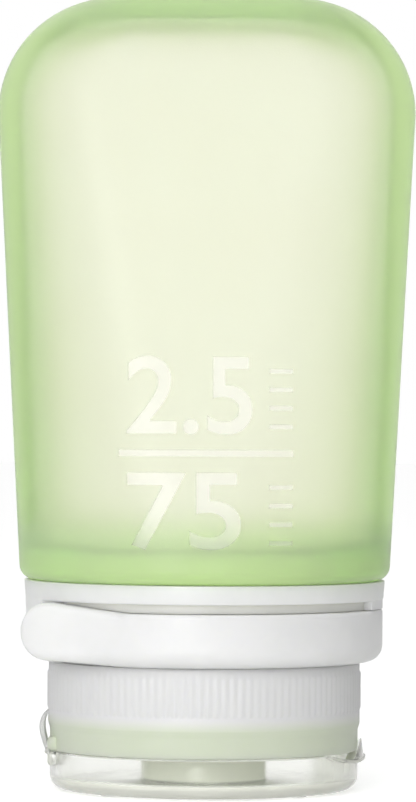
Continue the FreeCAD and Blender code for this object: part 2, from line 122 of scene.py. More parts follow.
class Nodes:
    """A material's node tree with its principled shader, and short ways to add to it."""

    NOISE_DETAIL = 3.0
    RELIEF_DETAIL = 2.0
    NOISE_ROUGHNESS = 0.55
    NOISE_RANGE = (0.3, 0.7)
    SHADE_RANGE = (0.35, 0.65)
    MIX_COLOURS = (6, 7)
    MIX_RESULT = 2

    def __init__(self, name: str) -> None:
        """Starts a material of that name.

        Args:
            name: The material's name.
        """
        self.material = bpy.data.materials.new(name)
        self.material.use_nodes = True
        self.tree = self.material.node_tree
        self.shader = self.tree.nodes["Principled BSDF"]
        self.output = self.tree.nodes["Material Output"]
        self.place = self.add("ShaderNodeTexCoord")

    def add(self, kind: str, **inputs: object) -> bpy.types.Node:
        """Adds a node and sets the inputs that are named, with underscores for spaces.

        Args:
            kind: Blender's name of the node type.
            inputs: Values by input name.

        Returns:
            The node.
        """
        node = self.tree.nodes.new(kind)
        for key, value in inputs.items():
            node.inputs[key.replace("_", " ")].default_value = value
        return node

    def link(self, source: bpy.types.NodeSocket, target: bpy.types.NodeSocket) -> None:
        """Links two sockets."""
        self.tree.links.new(source, target)

    def set(self, **inputs: object) -> None:
        """Sets constants on the principled shader, with underscores for spaces."""
        for key, value in inputs.items():
            self.shader.inputs[key.replace("_", " ")].default_value = value

    def feed(self, name: str, value: bpy.types.NodeSocket) -> None:
        """Links a value to the shader's input of that name."""
        self.link(value, self.shader.inputs[name])

    def noise(self, scale: float, detail: float = NOISE_DETAIL) -> bpy.types.NodeSocket:
        """Fine noise in the piece's own coordinates.

        Args:
            scale: Waves to the metre.
            detail: Octaves.

        Returns:
            The noise's value, about 0.5 in the middle.
        """
        node = self.add(
            "ShaderNodeTexNoise", Scale=scale, Detail=detail, Roughness=self.NOISE_ROUGHNESS
        )
        self.link(self.place.outputs["Object"], node.inputs["Vector"])
        return node.outputs["Fac"]

    def tint(self, scale: float, low: Colour, high: Colour) -> None:
        """Lets the shader's colour wander between two shades.

        Args:
            scale: Waves to the metre.
            low: Shade at the noise's low end.
            high: Shade at its high end.
        """
        ramp = self.add("ShaderNodeValToRGB")
        stops = ramp.color_ramp.elements
        for index, shade in enumerate((low, high)):
            stops[index].position = self.SHADE_RANGE[index]
            stops[index].color = (*shade, 1.0)
        self.link(self.noise(scale), ramp.inputs["Fac"])
        self.feed("Base Color", ramp.outputs["Color"])

    def part_tint(self, share: bpy.types.NodeSocket, colour: Colour) -> None:
        """Multiplies the shader's colour where a share says so.

        Args:
            share: From 0 for the plain colour to 1 for the product.
            colour: What it is multiplied by.
        """
        plain, factor = self.MIX_COLOURS
        mix = self.add("ShaderNodeMix")
        mix.data_type = "RGBA"
        mix.blend_type = "MULTIPLY"
        self.link(share, mix.inputs["Factor"])
        self.link(self.shader.inputs["Base Color"].links[0].from_socket, mix.inputs[plain])
        mix.inputs[factor].default_value = (*colour, 1.0)
        self.feed("Base Color", mix.outputs[self.MIX_RESULT])

    def painted(self, name: str) -> bpy.types.NodeSocket:
        """Value of a named attribute of the mesh, 0 where it has none.

        Args:
            name: The attribute's name.

        Returns:
            The value.
        """
        node = self.add("ShaderNodeAttribute")
        node.attribute_name = name
        return node.outputs["Fac"]

    def by_paint(self, name: str, attribute: str, bare: float, full: float) -> None:
        """Lets one of the shader's values follow a named attribute of the mesh.

        Args:
            name: The shader's input.
            attribute: The attribute's name.
            bare: Value where the attribute is 0.
            full: Value where it is 1.
        """
        mix = self.add("ShaderNodeMix", A=bare, B=full)
        self.link(self.painted(attribute), mix.inputs["Factor"])
        self.feed(name, mix.outputs["Result"])

    def skin(self, skin: Skin) -> None:
        """Lets the roughness wander.

        Args:
            skin: Its waves and limits.
        """
        low, high = self.NOISE_RANGE
        node = self.add(
            "ShaderNodeMapRange", From_Min=low, From_Max=high,
            To_Min=skin.smoothest, To_Max=skin.roughest,
        )
        self.link(self.noise(skin.grain), node.inputs["Value"])
        self.feed("Roughness", node.outputs["Result"])

    def relief(self, relief: Relief) -> None:
        """Gives the surface a fine relief.

        Args:
            relief: Its waves, height and share.
        """
        node = self.add("ShaderNodeBump", Strength=relief.share, Distance=relief.height)
        self.link(self.noise(relief.grain, self.RELIEF_DETAIL), node.inputs["Height"])
        self.feed("Normal", node.outputs["Normal"])

    def glow(self, glow: Glow) -> None:
        """Lets light travel inside the plastic."""
        self.set(
            Subsurface_Weight=glow.share, Subsurface_Scale=glow.depth,
            Subsurface_Radius=glow.reach,
        )

    def absorb(self, colour: Colour, density: float) -> None:
        """Fills the piece with a tinted clear substance.

        Args:
            colour: Light that is let through.
            density: Absorption to the metre.
        """
        node = self.add("ShaderNodeVolumeAbsorption", Color=(*colour, 1.0), Density=density)
        self.link(node.outputs["Volume"], self.output.inputs["Volume"])


@dataclass(frozen=True)
class Finish:
    """What all finishes have: two shades, their grain, and a skin, relief and glow if wanted."""

    name: str
    low: Colour
    high: Colour
    grain: float
    ior: float
    skin: Skin | None = None
    relief: Relief | None = None
    glow: Glow | None = None

    def material(self) -> bpy.types.Material:
        """Makes the material.

        Returns:
            The material.
        """
        nodes = Nodes(self.name)
        nodes.set(IOR=self.ior)
        nodes.tint(self.grain, self.low, self.high)
        if self.skin:
            nodes.skin(self.skin)
        if self.relief:
            nodes.relief(self.relief)
        if self.glow:
            nodes.glow(self.glow)
        self.dress(nodes)
        return nodes.material

    def dress(self, nodes: Nodes) -> None:
        """Adds what only this finish has."""
        raise NotImplementedError


@dataclass(frozen=True)
class FrostedSilicone(Finish):
    """Pale green silicone with a matt skin, denser where thick, polished on its sunk marks."""

    name: str = "frosted_green_silicone"
    low: Colour = (0.99, 0.957, 0.942)
    high: Colour = (1.0, 0.972, 0.964)
    grain: float = 90.0
    ior: float = 1.22
    relief: Relief = Relief(5200.0, 0.00006, 0.22)
    gloss: float = 0.45
    thick: Colour = (0.75, 0.94, 0.52)
    through: float = 0.93
    thick_through: float = 0.4
    matt: float = 0.34
    polished: float = 0.14
    dye: Colour = (0.54, 0.87, 0.06)
    density: float = 66.0

    def dress(self, nodes: Nodes) -> None:
        """Adds the thick zones, the polished marks and the dye.

        Args:
            nodes: The material's nodes.
        """
        nodes.set(Specular_IOR_Level=self.gloss)
        nodes.part_tint(nodes.painted("green"), self.thick)
        nodes.by_paint("Transmission Weight", "thick", self.through, self.thick_through)
        nodes.by_paint("Roughness", "polish", self.matt, self.polished)
        nodes.absorb(self.dye, self.density)


@dataclass(frozen=True)
class WhitePlastic(Finish):
    """Satin white moulded plastic, a little mottled, with some light inside it."""

    name: str = "satin_white_plastic"
    low: Colour = (0.86, 0.865, 0.855)
    high: Colour = (0.90, 0.90, 0.89)
    grain: float = 160.0
    ior: float = 1.49
    skin: Skin = Skin(700.0, 0.34, 0.46)
    relief: Relief = Relief(4200.0, 0.00004, 0.15)
    glow: Glow = Glow(0.8, 0.004, (1.0, 1.0, 0.9))
    # Painted greenish light on the slot's back, standing in for light through the green silicone.
    slot: Colour = (1.0, 1.0, 0.9)

    def dress(self, nodes: Nodes) -> None:
        """Adds the painted greenish light on the slot's back."""
        nodes.part_tint(nodes.painted("slot"), self.slot)


@dataclass(frozen=True)
class FrostedPlastic(Finish):
    """Milky plastic, with painted green light low down that stands in for the silicone showing through, and
    painted shade on its lugs.
    """

    name: str = "milky_clear_plastic"
    low: Colour = (0.985, 0.99, 0.97)
    high: Colour = (0.997, 1.0, 0.985)
    grain: float = 220.0
    ior: float = 1.49
    skin: Skin = Skin(500.0, 0.41, 0.53)
    glow: Glow = Glow(1.0, 0.0018, (1.0, 1.0, 0.95))
    # Painted green light: stands in for the silicone inside showing through, multiplied in low down on the
    # cap.
    green: Colour = (0.80, 0.865, 0.71)
    # Painted shade multiplied into the lugs, whose fronts face the lamps more squarely than the wall beside
    # them.
    lug: Colour = (0.82, 0.81, 0.82)
    painted_green_top: float = 0.0098
    painted_green_full: float = 0.0082
    through: float = 0.2

    def dress(self, nodes: Nodes) -> None:
        """Adds the painted green that grows downwards and the painted shade of the lugs.

        Args:
            nodes: The material's nodes.
        """
        nodes.set(Transmission_Weight=self.through)
        split = nodes.add("ShaderNodeSeparateXYZ")
        nodes.link(nodes.place.outputs["Object"], split.inputs["Vector"])
        share = nodes.add(
            "ShaderNodeMapRange", From_Min=self.painted_green_top, From_Max=self.painted_green_full
        )
        nodes.link(split.outputs["Z"], share.inputs["Value"])
        nodes.part_tint(share.outputs["Result"], self.green)
        nodes.part_tint(nodes.painted("lug"), self.lug)


@dataclass(frozen=True)
class ClearPlastic(Finish):
    """Clear, slightly hazy plastic of the lid and its webs, milkier along its edges; the milky edges are
    partly haze and partly painted light.
    """

    name: str = "hazy_clear_plastic"
    low: Colour = (0.975, 0.98, 0.955)
    high: Colour = (0.99, 0.993, 0.975)
    grain: float = 180.0
    ior: float = 1.34
    skin: Skin = Skin(350.0, 0.07, 0.17)
    # Tint of the milky edges: partly haze, partly painted light that brightens where the clear edge would
    # show dark refractions.
    edge: Colour = (0.98, 0.99, 0.90)
    through: float = 0.985
    edge_through: float = 0.15
    dye: Colour = (0.82, 0.88, 0.76)
    density: float = 3.0

    def dress(self, nodes: Nodes) -> None:
        """Adds the milky edges, partly painted light, and the dye.

        Args:
            nodes: The material's nodes.
        """
        nodes.part_tint(nodes.painted("edge"), self.edge)
        nodes.by_paint("Transmission Weight", "edge", self.through, self.edge_through)
        nodes.absorb(self.dye, self.density)


@dataclass(frozen=True)
class SoftSilicone(Finish):
    """Whitish soft silicone of the valve and the washer."""

    name: str = "soft_white_silicone"
    low: Colour = (0.82, 0.83, 0.79)
    high: Colour = (0.87, 0.88, 0.84)
    grain: float = 300.0
    ior: float = 1.41
    skin: Skin = Skin(900.0, 0.42, 0.55)
    relief: Relief = Relief(3000.0, 0.00005, 0.2)
    through: float = 0.45

    def dress(self, nodes: Nodes) -> None:
        """Lets some light through."""
        nodes.set(Transmission_Weight=self.through)


def clamp(value: float) -> float:
    """Value held between 0 and 1."""
    return max(0.0, min(1.0, value))


def eased(share: float) -> float:
    """Share that starts and ends gently."""
    return share * share * (3 - 2 * share)


def in_mm(place: Vector) -> tuple[float, ...]:
    """Coordinates in millimetres."""
    return tuple(value / MM for value in place)


def on_circle(radius: float, height: float) -> Section:
    """Round section.

    Args:
        radius: Millimetres.
        height: Millimetres.

    Returns:
        A section that starts at the front.
    """
    def place(turn: float) -> Vector:
        """Point at a share of the way round."""
        angle = 2 * math.pi * turn
        return Vector((radius * math.sin(angle), -radius * math.cos(angle), height))
    return place


def circles(profile: Sequence[Point]) -> list[Section]:
    """Round sections at the (radius, height) points of a profile."""
    return [on_circle(radius, height) for radius, height in profile]


def rounded(centre: Point, radius: float, start: float, end: float, steps: int) -> list[Point]:
    """Points of a round corner of a profile.

    Args:
        centre: (radius, height) of its centre.
        radius: Its rounding.
        start: First angle, degrees from outwards.
        end: Last angle.
        steps: Points after the first.

    Returns:
        The points.
    """
    angles = [math.radians(start + (end - start) * index / steps) for index in range(steps + 1)]
    return [
        (centre[0] + radius * math.cos(angle), centre[1] + radius * math.sin(angle))
        for angle in angles
    ]


def drawn_in(from_end: float, radius: float) -> float:
    """How far a rounded edge draws in at a distance from its end.

    Args:
        from_end: Millimetres from the end.
        radius: The rounding.

    Returns:
        Millimetres.
    """
    if from_end >= radius:
        return 0.0
    return radius - math.sqrt(max(0.0, radius ** 2 - (radius - from_end) ** 2))


class RoundCorner:
    """Rounded corner of an outline."""

    def __init__(self, before: Point, here: Point, after: Point, radius: float) -> None:
        """Fits an arc into a corner.

        Args:
            before: The corner before it.
            here: The corner.
            after: The corner after it.
            radius: The rounding.
        """
        corner = Vector(here)
        back = (Vector(before) - corner).normalized()
        ahead = (Vector(after) - corner).normalized()
        half = math.acos(max(-1.0, min(1.0, back.dot(ahead)))) / 2
        reach = radius / math.tan(half)
        self.start = corner + back * reach
        self.end = corner + ahead * reach
        inward = ((self.start - corner) + (self.end - corner)).normalized()
        self.centre = corner + inward * radius / math.sin(half)
        self.arm = self.start - self.centre
        sweep = math.pi - 2 * half
        self.sweep = math.copysign(sweep, self.arm.cross(self.end - self.centre))
        self.length = sweep * radius

    def at(self, share: float) -> Point:
        """Point at a share of the way along the arc."""
        cos, sin = math.cos(self.sweep * share), math.sin(self.sweep * share)
        return (
            self.centre.x + self.arm.x * cos - self.arm.y * sin,
            self.centre.y + self.arm.x * sin + self.arm.y * cos,
        )


class RoundedOutline:
    """Convex outline with rounded corners, walked at an even pace."""

    def __init__(self, corners: Sequence[Point], radii: Sequence[float]) -> None:
        """Works out the outline.

        Args:
            corners: Corners in order; the first side runs from the last one to the first.
            radii: Rounding of each corner.
        """
        following = [*corners[1:], corners[0]]
        self.arcs = [
            RoundCorner(corners[index - 1], here, following[index], radii[index])
            for index, here in enumerate(corners)
        ]
        self.sides = [
            (self.arcs[index - 1].end, arc.start) for index, arc in enumerate(self.arcs)
        ]
        self.lengths = [(end - start).length for start, end in self.sides]
        self.total = sum(self.lengths) + sum(arc.length for arc in self.arcs)

    def at(self, turn: float) -> Point:
        """Point at a share of the way round.

        Args:
            turn: Share of the way round, from the middle of the first side.

        Returns:
            The point.
        """
        way = (turn % 1.0) * self.total + self.lengths[0] / 2
        if way >= self.total:
            way -= self.total
        for (start, end), length, arc in zip(self.sides, self.lengths, self.arcs):
            if way <= length:
                return tuple(start.lerp(end, way / length if length > TINY else 0.0))
            way -= length
            if way <= arc.length:
                return arc.at(way / arc.length if arc.length > TINY else 0.0)
            way -= arc.length
        return self.arcs[-1].at(1.0)


def ring_chain(
    sections: Sequence[Section], segments: int, closed: bool = False
) -> bmesh.types.BMesh:
    """Skin drawn out ring by ring, each ring set to its section.

    Args:
        sections: The rings in order.
        segments: Points to a ring.
        closed: True if the last ring meets the first, False if both ends are filled.

    Returns:
        The mesh, in millimetres.
    """
    bm = bmesh.new()
    turn = bm.verts.layers.float.new("turn")
    ring = bmesh.ops.create_circle(bm, cap_ends=False, segments=segments, radius=1.0)["verts"]
    for index, vert in enumerate(ring):
        vert[turn] = index / segments
        vert.co = sections[0](vert[turn])
    edges = list(bm.edges)
    first = list(edges)
    for section in sections[1:]:
        drawn = bmesh.ops.extrude_edge_only(bm, edges=edges)["geom"]
        ring = {item for item in drawn if isinstance(item, bmesh.types.BMVert)}
        edges = [
            item for item in drawn
            if isinstance(item, bmesh.types.BMEdge) and all(vert in ring for vert in item.verts)
        ]
        for vert in ring:
            vert.co = section(vert[turn])
    if closed:
        bmesh.ops.bridge_loops(bm, edges=first + edges)
    else:
        bmesh.ops.contextual_create(bm, geom=first)
        bmesh.ops.contextual_create(bm, geom=edges)
    bm.verts.layers.float.remove(turn)
    bmesh.ops.recalc_face_normals(bm, faces=bm.faces)
    return bm


def turn_about(bm: bmesh.types.BMesh, degrees: float, axis: str) -> None:
    """Turns a mesh about an axis through the origin."""
    matrix = Matrix.Rotation(math.radians(degrees), 3, axis)
    bmesh.ops.rotate(bm, verts=bm.verts, cent=(0, 0, 0), matrix=matrix)


def shift(bm: bmesh.types.BMesh, by: Sequence[float]) -> None:
    """Moves a mesh."""
    bmesh.ops.translate(bm, vec=by, verts=bm.verts)


def wire(profile: Sequence[Point]) -> tuple[bmesh.types.BMesh, list]:
    """Closed profile that stands on the X axis.

    Args:
        profile: (radius, height) points.

    Returns:
        The mesh, and its points and edges.
    """
    bm = bmesh.new()
    verts = [bm.verts.new((radius, 0.0, height)) for radius, height in profile]
    edges = [bm.edges.new(pair) for pair in zip(verts, verts[1:] + verts[:1])]
    return bm, verts + edges


def turned(
    profile: Sequence[Point], segments: int, start: float = 0.0, sweep: float = 360.0
) -> bmesh.types.BMesh:
    """Solid turned about the upright axis from a closed profile.

    Args:
        profile: (radius, height) points.
        segments: Steps of the turn.
        start: Degrees at which it starts, from +X.
        sweep: Degrees that it covers.

    Returns:
        The mesh, in millimetres.
    """
    bm, geometry = wire(profile)
    whole = sweep >= 360.0
    turn_about(bm, start, "Z")
    bmesh.ops.spin(
        bm, geom=geometry, cent=(0, 0, 0), axis=(0, 0, 1), dvec=(0, 0, 0),
        angle=math.radians(sweep), steps=segments, use_merge=whole,
    )
    if not whole:
        bmesh.ops.holes_fill(bm, edges=bm.edges, sides=0)
    bmesh.ops.remove_doubles(bm, verts=bm.verts, dist=1e-5)
    bmesh.ops.recalc_face_normals(bm, faces=bm.faces)
    return bm


def threaded(
    root: float, crest: float, bottom: float, top: float, pitch: float
) -> bmesh.types.BMesh:
    """Ridge of a screw thread.

    Args:
        root: Radius at which it is rooted.
        crest: Radius of its crest.
        bottom: Height of its lower end.
        top: Height of its upper end.
        pitch: Climb to a turn.

    Returns:
        The mesh, in millimetres.
    """
    half_root, half_crest, steps_to_turn = 0.5, 0.3, 72
    bm, geometry = wire([
        (root, bottom - half_root), (crest, bottom - half_crest),
        (crest, bottom + half_crest), (root, bottom + half_root),
    ])
    turns = (top - bottom) / pitch
    count = round(turns * steps_to_turn)
    bmesh.ops.spin(
        bm, geom=geometry, cent=(0, 0, 0), axis=(0, 0, 1), dvec=(0, 0, (top - bottom) / count),
        angle=2 * math.pi * turns, steps=count, use_merge=False,
    )
    bmesh.ops.holes_fill(bm, edges=bm.edges, sides=0)
    bmesh.ops.recalc_face_normals(bm, faces=bm.faces)
    return bm


def block(low: Sequence[float], high: Sequence[float], edge: float = 0.0) -> bmesh.types.BMesh:
    """Box with softened edges.

    Args:
        low: Lowest corner, millimetres.
        high: Highest corner.
        edge: Width of its edges' rounding.

    Returns:
        The mesh, in millimetres.
    """
    bm = bmesh.new()
    bmesh.ops.create_cube(bm, size=1.0)
    bmesh.ops.scale(bm, vec=[b - a for a, b in zip(low, high)], verts=bm.verts)
    shift(bm, [(a + b) / 2 for a, b in zip(low, high)])
    if edge:
        bmesh.ops.bevel(
            bm, geom=list(bm.edges), offset=edge, segments=3, profile=0.5, affect="EDGES",
            material=-1,
        )
    return bm


def post(
    radius: float, bottom: float, top: float, at: Point = (0.0, 0.0), segments: int = 64
) -> bmesh.types.BMesh:
    """Upright round bar.

    Args:
        radius: Millimetres.
        bottom: Lower height.
        top: Upper height.
        at: Its axis.
        segments: Sides.

    Returns:
        The mesh, in millimetres.
    """
    bm = ring_chain(circles([(radius, bottom), (radius, top)]), segments)
    shift(bm, (*at, 0.0))
    return bm


def piece(bm: bmesh.types.BMesh, name: str) -> bpy.types.Object:
    """Object made from a mesh in millimetres, linked to the scene.

    Args:
        bm: The mesh, which is used up.
        name: The object's name.

    Returns:
        The object, in metres.
    """
    bmesh.ops.scale(bm, vec=(MM, MM, MM), verts=bm.verts)
    mesh = bpy.data.meshes.new(name)
    bm.to_mesh(mesh)
    bm.free()
    obj = bpy.data.objects.new(name, mesh)
    bpy.context.collection.objects.link(obj)
    return obj


def work(
    base: bpy.types.Object, tools: Sequence[bpy.types.Object], cut: Cut
) -> bpy.types.Object:
    """Joins a piece with others or carves them out of it; they are used up.

    Args:
        base: The piece.
        tools: What it is worked with, in order.
        cut: How.

    Returns:
        The piece.
    """
    for tool in tools:
        modifier = base.modifiers.new("work", "BOOLEAN")
        modifier.operation = cut.value
        modifier.solver = "EXACT"
        modifier.object = tool
    bpy.context.view_layer.update()
    ready = base.evaluated_get(bpy.context.evaluated_depsgraph_get())
    mesh = bpy.data.meshes.new_from_object(ready)
    base.modifiers.clear()
    old = base.data
    base.data = mesh
    bpy.data.meshes.remove(old)
    mesh.name = base.name
    for tool in tools:
        data = tool.data
        bpy.data.objects.remove(tool)
        bpy.data.meshes.remove(data)
    return base


def smooth(obj: bpy.types.Object, angle: float = 32.0) -> None:
    """Shades a piece smooth, with edges sharper than an angle kept crisp.

    Args:
        obj: The piece.
        angle: Degrees.
    """
    bm = bmesh.new()
    bm.from_mesh(obj.data)
    bmesh.ops.remove_doubles(bm, verts=bm.verts, dist=2e-7)
    bmesh.ops.dissolve_degenerate(bm, edges=bm.edges, dist=1e-7)
    limit = math.radians(angle)
    for face in bm.faces:
        face.smooth = True
    for edge in bm.edges:
        edge.smooth = len(edge.link_faces) == 2 and edge.calc_face_angle(0.0) < limit
    bm.to_mesh(obj.data)
    bm.free()


def paint(
    obj: bpy.types.Object, name: str, values: Sequence[float], domain: str = "POINT"
) -> None:
    """Writes an attribute that a finish reads.

    Args:
        obj: The piece.
        name: The attribute's name.
        values: One value for each point or face.
        domain: Blender's name of what the values are for.
    """
    obj.data.attributes.new(name, "FLOAT", domain).data.foreach_set("value", values)


def hand_over(
    obj: bpy.types.Object, material: bpy.types.Material, slot: Slot, *nodes: str
) -> bpy.types.Object:
    """Finishes a piece: gives it its material and hides the nodes that it stands for.

    Args:
        obj: The piece.
        material: Its finish.
        slot: The record's material slot; not used.
        nodes: The nodes that it replaces.

    Returns:
        The piece.
    """
    obj.data.materials.clear()
    obj.data.materials.append(material)
    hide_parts(*nodes)
    LOG.info("%s: %d faces", obj.name, len(obj.data.polygons))
    return obj


@dataclass(frozen=True)
class Figure:
    """Plain figures and the frame on the body's front that they fill, in millimetres."""

    text: str
    left: float
    right: float
    low: float
    high: float
    bolder: float = 0.012

    def letters(self) -> bmesh.types.BMesh:
        """Solid figures, lying flat.

        Returns:
            The mesh, not yet sized.
        """
        curve = bpy.data.curves.new("figure", "FONT")
        curve.body = self.text
        curve.extrude = 1.0
        curve.offset = self.bolder
        curve.resolution_u = 8
        stand = bpy.data.objects.new("figure", curve)
        bpy.context.collection.objects.link(stand)
        bpy.context.view_layer.update()
        ready = stand.evaluated_get(bpy.context.evaluated_depsgraph_get())
        mesh = bpy.data.meshes.new_from_object(ready)
        bm = bmesh.new()
        bm.from_mesh(mesh)
        bpy.data.objects.remove(stand)
        bpy.data.curves.remove(curve)
        bpy.data.meshes.remove(mesh)
        bmesh.ops.remove_doubles(bm, verts=bm.verts, dist=1e-4)
        return bm

    def block(self, back: float, depth: float) -> bpy.types.Object:
        """Figures as an upright block that fills the frame.

        Args:
            back: Where the block ends behind, on the Y axis.
            depth: How far it reaches forward from there.

        Returns:
            The block.
        """
        bm = self.letters()
        lows = [min(vert.co[axis] for vert in bm.verts) for axis in range(3)]
        highs = [max(vert.co[axis] for vert in bm.verts) for axis in range(3)]
        sizes = (self.right - self.left, self.high - self.low, depth)
        shift(bm, [-value for value in lows])
        stretch = [size / (b - a) for size, a, b in zip(sizes, lows, highs)]
        bmesh.ops.scale(bm, vec=stretch, verts=bm.verts)
        turn_about(bm, 90.0, "X")
        shift(bm, (self.left, back, self.low))
        bmesh.ops.recalc_face_normals(bm, faces=bm.faces)
        return piece(bm, "figure")


@dataclass
class SqueezeBody:
    """Soft body with its neck, lip and sunk capacity marks."""

    lip_bottom: float = 7.3
    lip_top: float = 9.0
    lip_radius: float = 16.3
    neck_radius: float = 15.0
    bore_radius: float = 13.0
    bottom: float = 25.8
    top: float = 97.0
    wall: float = 3.7
    face_wall: float = 2.0
    floor: float = 3.3
    shoulder: float = 3.9
    shoulder_width: float = 45.3
    shoulder_flat: float = 2.0
    shoulder_edge: float = 1.7
    base_width: float = 51.2
    base_depth: float = 24.0
    base_plan: float = 11.0
    base_corner: float = 14.1
    base_edge: float = 6.0
    throat_edge: float = 1.0
    lip_inner_edge: float = 0.4
    lip_outer_edge: float = 0.5
    lip_back_edge: float = 0.3
    upper_figure: Figure = Figure("2.5", -9.4, 5.6, 43.7, 53.1)
    lower_figure: Figure = Figure("75", -9.3, 4.3, 30.0, 39.2)
    line_ends: Point = (-10.3, 10.5)
    line_heights: Point = (41.1, 41.9)
    tick_ends: Point = (7.6, 10.4)
    tick_starts: Point = (30.6, 44.4)
    tick_step: float = 2.2
    tick_height: float = 0.55
    ticks: int = 4
    mark_depth: float = 0.32
    mark_back: float = -5.0
    mark_reach: float = 30.0
    mark_zone: Point = (29.0, 54.0)
    mark_front: float = -8.0
    mark_slack: float = 0.3
    thick_end: float = 34.3
    thick_fade: float = 6.6
    base_start: float = 92.0
    base_share: float = 0.65
    # Painted light on the sunk marks: they are made less clear and less green, so they show whiter than the
    # silicone round them.
    mark_thick: float = 0.6
    mark_share: float = 0.1
    segments: int = 200
    outer_rows: int = 44
    inner_rows: int = 30
    foot_rows: int = 7
    base_rows: int = 20

    def half_sizes(self, height: float) -> tuple[float, float, float]:
        """Half width, half depth and plan rounding of the plain outer form at a height.

        Args:
            height: Millimetres.

        Returns:
            The three sizes.
        """
        share = (height - self.bottom) / (self.top - self.bottom)
        spread = min(1.0, (height - self.bottom) / (self.top - self.bottom - self.base_corner))
        width = self.shoulder_width + spread * (self.base_width - self.shoulder_width)
        depth = self.shoulder_width + share * (self.base_depth - self.shoulder_width)
        plan = (self.shoulder_width - self.shoulder_flat) / 2
        return width / 2, depth / 2, plan + share * (self.base_plan - plan)

    def section(
        self, height: float, inset: float, bottom: float, top: float, foot: float
    ) -> Section:
        """Section of the form, drawn in by an inset and by its roundings.

        Args:
            height: Millimetres.
            inset: Millimetres all round.
            bottom: Lower end of the form.
            top: Upper end of the form.
            foot: Rounding of its lower edge.

        Returns:
            The section, which starts at the middle of the front.
        """
        half_width, half_depth, plan = self.half_sizes(height)
        low = drawn_in(height - bottom, foot)
        side = drawn_in(top - height, self.base_corner - inset)
        face = drawn_in(top - height, self.base_edge - inset)
        x = half_width - inset - low - side
        y = half_depth - min(inset, self.face_wall) - low - face
        corner = min(plan - inset - low - face, x - 5 * HAIR, y - 5 * HAIR)
        outline = RoundedOutline(((x, -y), (x, y), (-x, y), (-x, -y)), (corner,) * 4)
        return lambda turn: Vector((*outline.at(turn), height))

    def form(
        self, inset: float, bottom: float, top: float, foot: float, rows: int
    ) -> list[Section]:
        """Sections of the form from its lower end to its upper end.

        Args:
            inset: Millimetres all round.
            bottom: Lower end of the form.
            top: Upper end of the form.
            foot: Rounding of its lower edge.
            rows: Sections between its lower edge and its base corners.

        Returns:
            The sections.
        """
        quarter = math.pi / 2
        high = top - (self.base_corner - inset)
        start = bottom + foot
        heights = [
            bottom + foot * (1 - math.cos(quarter * index / self.foot_rows))
            for index in range(self.foot_rows + 1)
        ]
        heights += [start + (high - start) * index / rows for index in range(1, rows)]
        heights += [
            high + (top - high) * math.sin(quarter * index / self.base_rows)
            for index in range(self.base_rows + 1)
        ]
        return [self.section(height, inset, bottom, top, foot) for height in heights]

    def shell(self) -> bmesh.types.BMesh:
        """Closed skin: from the base down inside, through the neck, round the lip and up again.

        Returns:
            The mesh, in millimetres.
        """
        bore, lip = self.bore_radius, self.lip_radius
        room = self.bottom + self.shoulder
        inside = self.form(
            self.wall, room, self.top - self.floor, self.shoulder_edge, self.inner_rows
        )
        throat, inner = self.throat_edge, self.lip_inner_edge
        outer, back = self.lip_outer_edge, self.lip_back_edge
        neck = rounded((bore + throat, room - throat), throat, 90, 180, 5)
        neck += rounded((bore + inner, self.lip_bottom + inner), inner, 180, 270, 4)
        neck += rounded((lip - outer, self.lip_bottom + outer), outer, -90, 0, 4)
        neck += rounded((lip - back, self.lip_top - back), back, 0, 90, 3)
        neck += [(self.neck_radius, self.lip_top), (self.neck_radius, self.bottom)]
        outside = self.form(0.0, self.bottom, self.top, self.shoulder_edge, self.outer_rows)
        return ring_chain(inside[::-1] + circles(neck) + outside, self.segments)

    def marks(self) -> bpy.types.Object:
        """Cutter of the sunk marks: figures above and below a line, and ticks beside them.

        Returns:
            The cutter, which ends just under the body's skin.
        """
        back, reach = self.mark_back, self.mark_reach
        bars = [(self.line_ends, self.line_heights)]
        for start in self.tick_starts:
            levels = [start + self.tick_step * index for index in range(self.ticks)]
            bars += [(self.tick_ends, (level, level + self.tick_height)) for level in levels]
        solids = [self.upper_figure.block(back, reach), self.lower_figure.block(back, reach)]
        solids += [
            piece(block((x0, back - reach, z0), (x1, back, z1)), "bar")
            for (x0, x1), (z0, z1) in bars
        ]
        core = self.form(
            self.mark_depth, self.bottom + 1.0, self.top - 1.0, self.shoulder_edge,
            self.outer_rows,
        )
        cutter = work(solids[0], solids[1:], Cut.JOIN)
        return work(cutter, [piece(ring_chain(core, self.segments), "core")], Cut.CARVE)

    def is_sunk(self, x: float, y: float, z: float) -> bool:
        """Tells the sunk marks from the skin.

        Args:
            x: Millimetres.
            y: Millimetres.
            z: Millimetres.

        Returns:
            True for a point on the front that lies under the plain skin by more than a hair.
        """
        low, high = self.mark_zone
        if not low < z < high or y > self.mark_front:
            return False
        half_width, half_depth, plan = self.half_sizes(z)
        over = max(0.0, abs(x) - (half_width - plan))
        front = half_depth - plan + math.sqrt(max(0.0, plan ** 2 - over ** 2))
        return 5 * HAIR < front + y < self.mark_depth + self.mark_slack

    def mark_zones(self, obj: bpy.types.Object) -> None:
        """Paints where the silicone is polished, thick, and greener for being thick, and paints the sunk
        marks whiter and less clear as painted light.

        Args:
            obj: The body.
        """
        faces = [self.is_sunk(*in_mm(face.center)) for face in obj.data.polygons]
        paint(obj, "polish", [float(sunk) for sunk in faces], "FACE")
        thick, green = [], []
        for vert in obj.data.vertices:
            x, y, height = in_mm(vert.co)
            low = eased(clamp((self.thick_end - height) / self.thick_fade))
            high = clamp((height - self.base_start) / (self.top - self.base_start))
            share = max(low, self.base_share * high)
            # Sunk marks: painted light, whiter and less clear than the skin round them.
            sunk = self.is_sunk(x, y, height)
            thick.append(self.mark_thick if sunk else share)
            green.append(share * self.mark_share if sunk else share)
        paint(obj, "thick", thick)
        paint(obj, "green", green)

